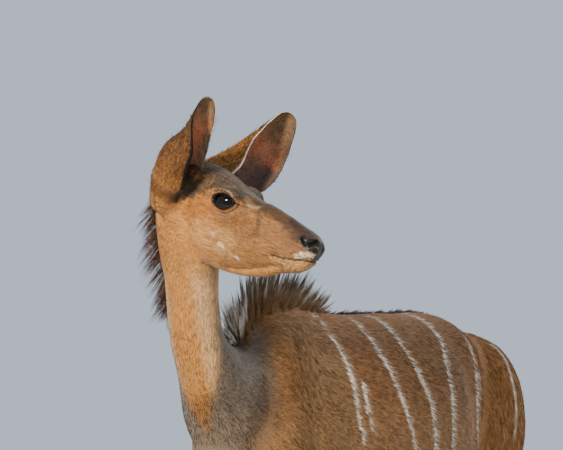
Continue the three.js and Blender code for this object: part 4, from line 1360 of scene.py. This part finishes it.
def hair_piece(name, pattern, hairs, flat, finish):
    """One piece from many hairs: root, way, flat side, length, bend, half width, colours."""
    share, across, faces = pattern
    ends = len(share)
    roots, ways, flats, lengths, bends, widths, at_root, at_tip = hairs
    up = unit(np.cross(flats, ways))
    centre = roots[:, None] + ways[:, None] * (lengths[:, None] * share)[:, :, None]
    centre = centre + bends[:, None] * (lengths[:, None] * share**2)[:, :, None]
    wide = widths[:, None] * (1 - share**1.6)
    section = flats[:, None] * (across[:, 0] * wide)[:, :, None]
    section = section + up[:, None] * (across[:, 1] * wide * 0.55)[:, :, None]
    points = (centre + section).reshape(-1, 3)
    mesh = bpy.data.meshes.new(name)
    count = len(roots)
    index = (faces[None] + ends * np.arange(count)[:, None, None]).reshape(-1, 3)
    mesh.vertices.add(count * ends)
    mesh.loops.add(index.size)
    mesh.polygons.add(len(index))
    mesh.loops.foreach_set("vertex_index", index.ravel().astype(np.int32))
    mesh.polygons.foreach_set("loop_start", np.arange(0, index.size, 3, dtype=np.int32))
    mesh.polygons.foreach_set("use_smooth", np.ones(len(index), bool))
    set_points(mesh, points)
    tone = at_root[:, None] + (at_tip - at_root)[:, None] * (share**0.8)[None, :, None]
    add_attribute(mesh, "coat", "FLOAT_COLOR", tone.reshape(-1, 3))
    spread = np.stack([across[:, 0], 2 * share - 1], 1) * 0.0014
    bake_map(mesh, np.clip(flat[:, None] + spread[None], 0.0005, 0.9995).reshape(-1, 2))
    mesh.materials.append(finish)
    piece = put(mesh, name)
    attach(piece, "root")
    return piece


# %% [markdown]
# ## Short hair over the skin
# Short hair lies flat, so most of it is the ridged skin itself. Tufts along the lie break up the
# skin on every side. They are smallest on the face and feet, and none grow on the nose or lids.

# %% Where tufts grow
def scatter(piece, density, count, rng):
    """Random places on a piece, more where the density at its points is high."""
    mesh = piece.data
    mesh.calc_loop_triangles()
    corners = np.empty(len(mesh.loop_triangles) * 3, np.int32)
    mesh.loop_triangles.foreach_get("vertices", corners)
    corners = corners.reshape(-1, 3)
    points = points_of(mesh)
    a, b, c = points[corners[:, 0]], points[corners[:, 1]], points[corners[:, 2]]
    area = np.linalg.norm(np.cross(b - a, c - a), axis=1) / 2
    weight = np.cumsum(area * density[corners].mean(1))
    picked = np.searchsorted(weight, rng.uniform(0, weight[-1], count))
    u, v = rng.uniform(size=(2, count))
    turned = u + v > 1
    u, v = np.where(turned, 1 - u, u), np.where(turned, 1 - v, v)
    shares = np.stack([1 - u - v, u, v], axis=1)
    return corners[picked], shares


def mixed(values, corners, shares):
    """Values at scattered places, from the values at the corners of their triangles."""
    values = np.asarray(values)
    if values.ndim == 1:
        return (values[corners] * shares).sum(1)
    return (values[corners] * shares[:, :, None]).sum(1)


def grow_short(piece, names, count, density, flow, run, sizes, colours, flat_map, rng, groups):
    """Tufts over a piece. Sizes are length, half width, lift and speckle at each of its points."""
    corners, shares = scatter(piece, density, count, rng)
    points, normals = points_of(piece.data), normals_of(piece.data)
    roots = mixed(points, corners, shares)
    up = unit(mixed(normals, corners, shares))
    way = mixed(flow, corners, shares)
    way = unit(way - up * (way * up).sum(1, keepdims=True))
    swirl = 0.14 * ripple(roots, 70, 31) + 0.08 * ripple(roots, 24, 32) + rng.normal(0, 0.08, count)
    way = way * np.cos(swirl)[:, None] + np.cross(up, way) * np.sin(swirl)[:, None]
    length, width, lift, speckle = [mixed(size, corners, shares) for size in sizes]
    length = length * rng.uniform(0.7, 1.25, count)
    lift = lift * rng.uniform(0.7, 1.6, count)
    way = unit(way + up * lift[:, None])
    tone = colours(roots, corners, shares)
    # Neighbours share a shade along the lie, so that the coat looks combed
    axis = run[corners[:, 0]]
    combed = roots - 0.72 * axis * (roots * axis).sum(1, keepdims=True)
    shade = 1 + rng.normal(0, 1, count) * (0.08 + 0.14 * speckle)
    shade = shade + (0.16 + 0.34 * speckle) * ripple(combed, 4.6, 34) + 0.12 * ripple(combed, 10, 33)
    shade = shade * (1 - 0.6 * speckle * step(0.35, 0.8, ripple(combed, 4.0, 35)))
    dark_tip = np.where(rng.uniform(size=count) < 0.15, 1 - 0.4 * speckle, 1)
    at_root = tone * (np.maximum(shade, 0.2) * 0.84)[:, None]
    at_tip = tone * (np.maximum(shade, 0.2) * 1.12 * dark_tip)[:, None]
    hairs = (roots - up * 0.5, way, unit(np.cross(way, up)), length, up * -0.05, width, at_root, at_tip)
    flat = flat_map[corners[:, 0]]
    group = groups(roots, corners)
    for number, name in enumerate(names):
        mine = group == number
        hair_piece(name, TUFT, [values[mine] for values in hairs], flat[mine], FUR)
    return np.bincount(group, minlength=len(names))


rng = np.random.default_rng(SEED)
points = points_of(skin.data)
weights, lie = part_weights(points)
flat_map = unwrap(weights)
parts = list(weights)
owner = np.argmax(np.stack([weights[name][0] for name in parts]), axis=0)
h = to_head(points)
face = step(-40, 40, h[:, 0]) * (points[:, 2] > 1200)
muzzle = step(120, 260, h[:, 0]) * face
eye_near = np.exp(-((np.linalg.norm(np.abs(h) - EYE_PLACE, axis=1) / 44) ** 2)) * face
small_hair = np.clip(muzzle + eye_near, 0, 1)
leg_low = step(640, 480, points[:, 2])
on_neck = np.clip(weights["neck"][0] / (weights["torso"][0] + weights["neck"][0] + 1e-9), 0, 1)
on_neck = step(0.2, 0.8, on_neck) * (points[:, 2] > 900)
length = 20 - 8 * on_neck * (1 - face) - 14 * face - 2 * small_hair - 7.5 * leg_low * (1 - face)
width = 0.85 - 0.3 * on_neck * (1 - face) - 0.42 * face - 0.1 * small_hair - 0.25 * leg_low
lift = 0.09 + 0 * on_neck - 0.02 * leg_low
speckle = 0.3 + 0.35 * on_neck * (1 - face) + 0.55 * face
density = 0.2 + 0.3 * on_neck + 0.75 * face + 0.3 * small_hair + 0.12 * leg_low
density = density * step(0.5, 0.15, skin_bare) * step(20, 50, points[:, 2])


def skin_tones(roots, corners, shares):
    """Coat colours at the roots, so that markings stay sharp."""
    rooted = {}
    for name, (weight, share, angle) in weights.items():
        rooted[name] = (mixed(weight, corners, shares), share[corners[:, 0]], angle[corners[:, 0]])
    return coat_colours(roots, rooted)


COATS = ["coat_trunk_left_front", "coat_trunk_left_rear", "coat_trunk_right_front", "coat_trunk_right_rear"]
COATS += ["coat_neck_left", "coat_neck_right", "coat_head_left", "coat_head_right"]
COATS += ["coat_legs_left", "coat_legs_right"]


def coat_group(roots, corners):
    """Which coat piece each root belongs to."""
    part = owner[corners[:, 0]]
    right = roots[:, 0] < np.where(part == parts.index("neck"), 30, 0)
    group = 2 * right + (roots[:, 1] > 80)
    group = np.where(part == parts.index("neck"), 4 + right, group)
    near_head = (part == parts.index("head")) * (roots[:, 1] < CROWN[1])
    group = np.where(part == parts.index("head"), 6 + near_head, group)
    limb = np.isin(part, [k for k, name in enumerate(parts) if name.startswith("leg") or name == "tail"])
    return np.where(limb, 8 + right, group)


run = np.tile([0.0, 0.91, -0.41], (len(points), 1))
run[np.isin(owner, [k for k, name in enumerate(parts) if name not in ("torso", "head")])] = [0, 0, 1]
run[owner == parts.index("head")] = HEAD_AXES[0]
sizes = (length, width, lift, speckle)
TUFTS = 245000
counts = grow_short(
    skin, COATS, TUFTS, density, lie, run, sizes, skin_tones, flat_map, rng, coat_group
)
print("tufts:", dict(zip(COATS, counts.tolist())))

# %% Down on the ears, and long hairs along their rims
for name in EARS:
    piece, share, across, outer = ears[name]
    side, axis, opening, _, _ = EARS[name]
    _, along, facing, aside = ear_axes(side, axis, opening)
    ear_spots = points_of(piece.data)
    ear_tone = ear_colours(ear_spots, share, across, outer, name == "ear_left")
    flow = np.tile(along, (len(share), 1))
    back = step(-0.05, 0.1, outer)
    rim = step(7, 3, (1 - np.abs(across)) * np.interp(share, np.array(EAR)[:, 0], np.array(EAR)[:, 1]))
    ear_sizes = ((4 + 3 * back) * (1 - 0.6 * rim), 0.42 + 0 * back, 0.1 + 0 * back, 0.28 + 0.1 * back)
    tile = UV_TILES[name]
    ear_map = np.stack([tile[0] + tile[2] * (0.25 + 0.22 * across + 0.5 * (outer < 0)), tile[1] + tile[3] * share], 1)
    down_density = (0.45 + 0.55 * back) * step(0.99, 0.96, share) * (1 - 0.85 * rim)

    def ear_tones(roots, corners, shares, ear_tone=ear_tone):
        return mixed(ear_tone, corners, shares)

    def one_group(roots, corners):
        return np.zeros(len(roots), int)

    ear_run = np.tile(along, (len(share), 1))
    down = [f"{name}_down"]
    grow_short(
        piece, down, 12000, down_density, flow, ear_run, ear_sizes, ear_tones, ear_map, rng, one_group
    )

    # Pale hairs that lie across the cup from its pale rim, and dark ones that stand off its back
    count = 260
    t = rng.uniform(0.16, 0.62, count)
    places = np.interp(t, np.array(EAR)[:, 0], np.arange(len(EAR)))
    from_rim = rng.uniform(0.04, 0.2, count)
    pale_side = side < 0
    angles = math.pi * np.where(pale_side, 1 + from_rim, 2 - from_rim)
    onward = math.pi * np.where(pale_side, 1.12 + from_rim, 1.88 - from_rim)
    roots = ear_points(name, places, angles)[0]
    further = ear_points(name, np.minimum(places + 0.35, len(EAR) - 1), onward)[0]
    way = unit(unit(further - roots) + along * 0.35 + rng.normal(0, 0.16, (count, 3)))
    pale = linear("#b9a68c") * rng.uniform(0.4, 1.15, count)[:, None]
    flats = unit(np.cross(way, facing))
    lengths = rng.uniform(12, 24, count)
    hairs = (roots, way, flats, lengths, facing * 0.1 + 0 * way, np.full(count, 0.5), pale * 0.8, pale)
    ear_flat = np.stack([tile[0] + tile[2] * rng.uniform(0.5, 1, count), tile[1] + tile[3] * t], 1)
    hair_piece(f"{name}_fringe", LOCK, hairs, ear_flat, MANE)

    count = 900
    t = rng.uniform(0.15, 0.8, count)
    places = np.interp(t, np.array(EAR)[:, 0], np.arange(len(EAR)))
    angles = rng.uniform(0.1, 0.9, count) * math.pi
    roots = ear_points(name, places, angles)[0]
    out = unit(roots - ear_points(name, places, np.full(count, 1.5 * math.pi))[0])
    way = unit(along + 0.8 * out + rng.normal(0, 0.22, (count, 3)))
    dark = linear("#35241a") * rng.uniform(0.6, 1.6, count)[:, None]
    lengths = rng.uniform(7, 16, count)
    hairs = (roots, way, unit(np.cross(way, out)), lengths, out * -0.1, np.full(count, 0.36), dark, dark)
    ear_flat = np.stack([tile[0] + tile[2] * angles / math.pi * 0.5, tile[1] + tile[3] * t], 1)
    hair_piece(f"{name}_guard_hair", LOCK, hairs, ear_flat, MANE)

    # Hair that runs from the foot of the ear down over the head, so that no edge shows
    count = 2600
    t = rng.uniform(0.0, 0.18, count)
    places = np.interp(t, np.array(EAR)[:, 0], np.arange(len(EAR)))
    angles = rng.uniform(0.0, 1.0, count) * math.pi
    roots = ear_points(name, places, angles)[0]
    out = unit(roots - ear_points(name, places, np.full(count, 1.5 * math.pi))[0])
    way = unit(-along + 0.12 * out + rng.normal(0, 0.07, (count, 3)))
    front = np.abs(angles / math.pi - 0.5)
    front = step(0.25, 0.4, front) if side < 0 else step(0.15, 0.4, angles / math.pi - 0.5)
    foot = paint(np.tile(linear("#94683c"), (count, 1)), CROWN_GREY, front)
    foot = foot * rng.uniform(0.7, 1.25, count)[:, None]
    lengths = rng.uniform(14, 26, count)
    hairs = (roots, way, unit(np.cross(way, out)), lengths, out * -0.2, np.full(count, 0.42), foot, foot)
    ear_flat = np.stack([tile[0] + tile[2] * angles / math.pi * 0.5, tile[1] + tile[3] * t], 1)
    hair_piece(f"{name}_foot_hair", TUFT, hairs, ear_flat, FUR)
print("ears are downy")

# %% Lashes along the upper lids
for name, side in (("lashes_left", 1), ("lashes_right", -1)):
    count = 130
    t = rng.uniform(-0.86, 0.9, count)
    upper = EYE_UPPER * (1 - t**2) ** 0.8 * (1 - 0.1 * t) + rng.uniform(0.4, 2.0, count)
    ahead = EYE_HALF * t * math.cos(EYE_TILT) - upper * math.sin(EYE_TILT) - LID_BACK
    above = upper * math.cos(EYE_TILT) + EYE_HALF * t * math.sin(EYE_TILT)
    bulge = np.sqrt(np.maximum(1 - (ahead / EYE_FLAT[0]) ** 2 - (above / EYE_FLAT[2]) ** 2, 0.05))
    out = (EYE_FLAT[1] + 2.2) * bulge
    roots = from_head(EYE_PLACE * [1, side, 1] + np.stack([ahead, side * out, above], 1))
    way = np.stack([0.5 * t - 0.1, side * (1 + 0 * t), 0.1 + 0 * t], 1) + rng.normal(0, 0.09, (count, 3))
    way = unit(way) @ HEAD_AXES
    lengths = rng.uniform(7, 12, count)
    bends = np.tile([0, 0, -0.35], (count, 1))
    black = np.tile(linear("#0c0806"), (count, 1))
    left, low, wide, tall = UV_TILES["manes"]
    flat = np.stack([left + wide * rng.uniform(size=count), low + tall * rng.uniform(size=count)], 1)
    hairs = (roots, way, unit(np.cross(way, [0, 0, 1])), lengths, bends, np.full(count, 0.4), black, black)
    hair_piece(name, LOCK, hairs, flat, MANE)
print("lashes:", 2 * count)

# %% [markdown]
# ## Manes
# Coarse hair stands in a fan over the withers, hangs from the nape and lies in a black line
# along the back. Its hairs gather in pointed locks. So we place lock tips first, and every hair
# of a lock leans towards its tip.

# %% Gather hairs into locks
NAPE_LENGTH, WITHERS_LENGTH, CREST_LENGTH = 72, 96, 34
NAPE_SPAN, WITHERS_SPAN, CREST_SPAN = (7.5, 3.6), (2.1, 6.1), (5.9, 12.6)


def grow_mane(name, rng, rows, hairs, root_spread, tip_spread, width, colours):
    """One mane piece. Rows give the root, way, length and bend of each lock."""
    roots, ways, lengths, bends = rows
    lock = np.repeat(np.arange(len(roots)), hairs)
    count = len(lock)
    start = roots[lock] + rng.normal(0, 1, (count, 3)) * root_spread
    tip = roots[lock] + ways[lock] * lengths[lock][:, None] + rng.normal(0, tip_spread, (count, 3))
    way = tip - start
    length = np.linalg.norm(way, axis=1) * rng.uniform(0.62, 1.06, count)
    way = unit(way)
    flats = unit(np.cross(way, unit(rng.normal(size=(count, 3)))))
    at_root, at_tip = colours(lock)
    widths = width * rng.uniform(0.75, 1.25, count)
    left, low, wide, tall = UV_TILES["manes"]
    flat = np.stack([left + wide * rng.uniform(size=count), low + tall * rng.uniform(size=count)], 1)
    hair_piece(name, LOCK, (start, way, flats, length, bends[lock], widths, at_root, at_tip), flat, MANE)
    print(name, "hairs:", count)


RIDGE_Y = np.arange(-520, 520, 10)
spots = points_of(skin.data)
spots = spots[(np.abs(spots[:, 0]) < 16) & (spots[:, 2] > 850)]
ridge_z = np.array([spots[np.abs(spots[:, 1] - y) < 9, 2].max(initial=900) for y in RIDGE_Y])


def back_line(places, lean):
    """Roots along the line of the back and the way that hair leans there, in radians from upright."""
    here = between(TORSO, places)
    behind = between(TORSO, np.minimum(places + 0.05, len(TORSO) - 1))
    slope = np.arctan2(here[:, 1] - behind[:, 1], behind[:, 0] - here[:, 0]) + lean
    ways = np.stack([0 * slope, np.sin(slope), np.cos(slope)], axis=1)
    return np.stack([0 * slope, here[:, 0], np.interp(here[:, 0], RIDGE_Y, ridge_z)], axis=1), ways


def tones(share, low, high):
    """Colours between two hex codes."""
    return linear(low) + (linear(high) - linear(low)) * np.clip(share, 0, 1)[:, None]


def fan(rng, count, reach, share_low, share_high, longest):
    """Locks over the withers that stand up to a reach beside the middle line."""
    t = np.sort(rng.uniform(share_low, share_high, count))
    places = WITHERS_SPAN[0] + (WITHERS_SPAN[1] - WITHERS_SPAN[0]) * t
    roots, ways = back_line(places, np.radians(-22 + 88 * t**1.2))
    out = rng.uniform(-reach, reach, count)
    roots = roots + np.stack([out, 0 * out, -0.011 * out**2 - 2], axis=1)
    sideways = np.stack([out * 0.013 + rng.normal(0, 0.04, count), rng.normal(0, 0.045, count), 0 * out], 1)
    lengths = longest * (0.42 + 0.58 * np.sin(math.pi * (0.2 + 0.56 * t))) * rng.uniform(0.76, 1.1, count)
    lengths = lengths * (1 - 0.3 * np.abs(out) / 34)
    bends = np.stack([0 * t, 0.14 - 0.1 * t, -0.03 + 0.16 * t], axis=1)
    return t, (roots, unit(ways + sideways), lengths, bends)


# %% Fan over the withers: long dark locks in the middle, with paler ones among them
t, rows = fan(rng, 230, 9, 0.12, 1.0, WITHERS_LENGTH)
pale_lock = (rng.uniform(size=len(t)) < 0.3 + 0.4 * step(0.3, 0.12, t)).astype(float)
lock_shade = rng.uniform(-0.35, 0.35, len(t))


def fan_colours(lock):
    noise = rng.normal(0, 0.12, len(lock)) + lock_shade[lock]
    # The roots are painted a lighter brown, as painted light where the dense locks shade one another
    at_root = tones(0.5 + noise, "#9a7852", "#d0ac80")
    dark = tones(0.14 + noise, "#0d0805", "#5f4029")
    pale = tones(0.8 + noise, "#b09a82", "#fbf3e6")
    share = np.clip(pale_lock[lock] * 0.8 + rng.uniform(-0.3, 0.2, len(lock)), 0, 1)[:, None]
    return at_root, dark + (pale - dark) * share


grow_mane("withers_mane", rng, rows, 24, (1.8, 3.4, 1.5), 0.8, 0.55, fan_colours)

# %% Shorter brown locks that lead up to the fan from both shoulders
t, rows = fan(rng, 260, 34, 0.02, 0.95, 0.62 * WITHERS_LENGTH)


def collar_colours(lock):
    noise = rng.normal(0, 0.15, len(lock))
    # The collar is painted lighter than its own brown, as painted light where the locks shade the fan's base
    return tones(0.5 + noise, "#8a6542", "#b58c58"), tones(0.4 + noise, "#5c422c", "#9c7650")


grow_mane("withers_collar", rng, rows, 12, (2.6, 3.6, 1.5), 2.0, 0.5, collar_colours)

# %% A silver tuft in front of the fan
count = 80
t = rng.uniform(0, 1, count)
out = rng.uniform(-17, 17, count)
roots, ways = back_line(1.3 + 1.6 * t, np.radians(-44 + 32 * t + rng.normal(0, 8, count)))
roots = roots + np.stack([out, 0 * out, -0.011 * out**2 - 2], axis=1)
ways = unit(ways + np.stack([out * 0.02, 0 * out, 0 * out], axis=1))
lengths = (40 + 62 * t**0.8) * rng.uniform(0.6, 1.1, count)
bends = np.tile([0, 0.1, 0.02], (count, 1))


def silver_colours(lock):
    noise = rng.normal(0, 0.25, len(lock))
    dark = (rng.uniform(size=len(lock)) < 0.12)[:, None] * 0.85
    pale = tones(0.8 + noise, "#b8aca0", "#fffaf2")
    # The roots' grey is painted lighter, as painted light where the neck shades the tuft
    return tones(0.6 + noise, "#8f7d6a", "#d8cbb8"), pale + (linear("#2a211b") - pale) * dark


grow_mane("withers_silver", rng, (roots, ways, lengths, bends), 12, (2.2, 3.4, 2), 1.8, 0.5, silver_colours)

# %% Nape
count = 76
t = np.sort(rng.uniform(0, 1, count))
places = NAPE_SPAN[0] + (NAPE_SPAN[1] - NAPE_SPAN[0]) * t
middle, _, back, aside, sizes = station_at(neck_stations, places)
out = rng.uniform(-11, 11, count)
roots = middle + back * (sizes[:, 1] - COAT_DEPTH - 0.14 * np.abs(out) - 1)[:, None] + aside * out[:, None]
ways = back * 0.74 + np.array([0, 0, -0.7]) + aside * (out * 0.018)[:, None]
ways = unit(ways + rng.normal(0, 0.05, (count, 3)))
lengths = NAPE_LENGTH * (0.4 + 0.6 * np.sin(math.pi * (0.14 + 0.72 * t))) * rng.uniform(0.75, 1.12, count)
bends = np.tile([0, 0, -0.2], (count, 1))


def nape_colours(lock):
    noise = rng.normal(0, 0.15, len(lock))
    rust = (rng.uniform(size=len(lock)) < 0.3) * 0.6
    return tones(0.3 + noise, "#2a1c13", "#644628"), tones(0.1 + rust + noise, "#150d08", "#8a5429")


grow_mane("nape_mane", rng, (roots, ways, lengths, bends), 20, (3, 3, 6), 2.2, 0.42, nape_colours)

# %% Dark line along the back
count = 300
t = np.sort(rng.uniform(0, 1, count))
places = CREST_SPAN[0] + (CREST_SPAN[1] - CREST_SPAN[0]) * t
roots, ways = back_line(places, np.radians(70 + rng.normal(0, 6, count)))
out = rng.uniform(-6, 6, count)
roots = roots + np.stack([out, 0 * out, -1.5 + 0 * out], axis=1)
ways = unit(ways + np.stack([out * 0.012, 0 * out, 0 * out], axis=1))
lengths = CREST_LENGTH * (1 - 0.3 * t) * rng.uniform(0.7, 1.15, count)
bends = np.tile([0, 0.04, -0.12], (count, 1))


def crest_colours(lock):
    noise = rng.normal(0, 0.2, len(lock))
    return tones(0.2 + noise, "#1c130d", "#4c3625"), tones(0.15 + noise, "#130c08", "#6e5138")


grow_mane("back_crest", rng, (roots, ways, lengths, bends), 9, (1.2, 3, 0.5), 1.3, 0.5, crest_colours)

# %% Tail: brown above, white below and a black brush
count = 190
t = np.sort(rng.uniform(0, 1, count)) ** 0.9
places = 2.0 + 4.9 * t
middle, _, back, aside, sizes = station_at(tail_stations, places)
turn = rng.uniform(0, 2 * math.pi, count)
outward = aside * np.cos(turn)[:, None] + back * np.sin(turn)[:, None]
reach = np.hypot(sizes[:, 0] * np.cos(turn), sizes[:, 1] * np.sin(turn)) * 0.6
roots = middle + outward * reach[:, None]
ways = unit(np.array([0, 0.1, -1]) + outward * 0.16 + rng.normal(0, 0.04, (count, 3)))
lengths = (42 + 52 * step(0.3, 1, t)) * rng.uniform(0.7, 1.1, count)
bends = outward * -0.08
underside = step(0.2, -0.4, np.sin(turn))
brush = step(0.58, 0.8, t)


def tail_colours(lock):
    noise = rng.normal(0, 0.12, len(lock))
    made = tones(0.4 + noise, "#71502f", "#9b7345")
    made = made + (tones(0.7 + noise, "#cbbfa9", "#efe8da") - made) * underside[lock][:, None]
    made = made + (tones(0.4 + noise, "#15100d", "#33271e") - made) * brush[lock][:, None]
    return made * 0.8, made


grow_mane("tail_brush", rng, (roots, ways, lengths, bends), 16, (2.6, 2.6, 5), 2.2, 0.6, tail_colours)

# %% [markdown]
# ## Floor, light and camera
# A pale floor, one big soft lamp low on the animal's right front, as the low sun stood, and a
# pale room. The camera is level, 13 m away and 30 degrees round to her left.

# %% Floor
def floor_material():
    made, tree, shader = material("pale plaster floor", {"Roughness": 0.85})
    place = node(tree, "ShaderNodeTexCoord").outputs["Object"]
    cloud = node(tree, "ShaderNodeTexNoise", {"Vector": place, "Scale": per_mm(400), "Detail": 6.0})
    ramp = node(tree, "ShaderNodeMapRange", {0: cloud.outputs["Fac"], 1: 0.3, 2: 0.7, 3: 0.94, 4: 1.04})
    colour = [*(linear("#c4c2bd")), 1]
    pale = node(tree, "ShaderNodeVectorMath", {0: colour[:3]}, operation="SCALE")
    tree.links.new(ramp.outputs[0], pale.inputs["Scale"])
    tree.links.new(pale.outputs[0], shader.inputs["Base Color"])
    return made


ground = bmesh.new()
bmesh.ops.create_grid(ground, x_segments=1, y_segments=1, size=4)
floor = put(mesh_from([ground], "floor"), "floor")
floor.data.materials.append(floor_material())

# %% Camera
PIXELS_PER_MM = 0.5
CAMERA_AWAY = 13000
VIEW_TURN = math.radians(30)
rightward = np.array([math.cos(VIEW_TURN), math.sin(VIEW_TURN), 0])
towards = np.array([math.sin(VIEW_TURN), -math.cos(VIEW_TURN), 0])
aim = rightward * -121 + towards * 600 + np.array([0, 0, 1340])
camera_data = bpy.data.cameras.new("camera")
camera = bpy.data.objects.new("camera", camera_data)
bpy.context.scene.collection.objects.link(camera)
camera.location = Vector(to_frame(aim + towards * CAMERA_AWAY))
camera.rotation_euler = (math.pi / 2, 0, VIEW_TURN)
camera_data.sensor_width = 36
camera_data.lens = 36 * CAMERA_AWAY * PIXELS_PER_MM / 563
camera_data.clip_end = 100
bpy.context.scene.camera = camera


# %% Lamps
def lamp(name, place, size, power, colour, target=(0, -0.1, 1.1)):
    """A square soft lamp that faces a target."""
    light = bpy.data.lights.new(name, "AREA")
    light.size = size
    light.energy = power
    light.color = colour
    made = bpy.data.objects.new(name, light)
    bpy.context.scene.collection.objects.link(made)
    made.location = place
    made.rotation_euler = (Vector(target) - Vector(place)).to_track_quat("-Z", "Y").to_euler()


lamp("low_sun", (-0.3, -6.6, 3.2), 1.1, 900, (1.0, 0.84, 0.66))
lamp("soft_fill", (5.0, -3.0, 3.4), 4.0, 40, (1.0, 0.95, 0.88))
lamp("back_light", (1.5, 5.0, 4.0), 4.0, 130, (1.0, 0.86, 0.68))
room = bpy.data.worlds.new("pale room")
room.use_nodes = True
room.node_tree.nodes["Background"].inputs["Color"].default_value = (*linear("#b3c0ce"), 1)
room.node_tree.nodes["Background"].inputs["Strength"].default_value = 1.24
bpy.context.scene.world = room
print("camera at", [round(v, 2) for v in camera.location])
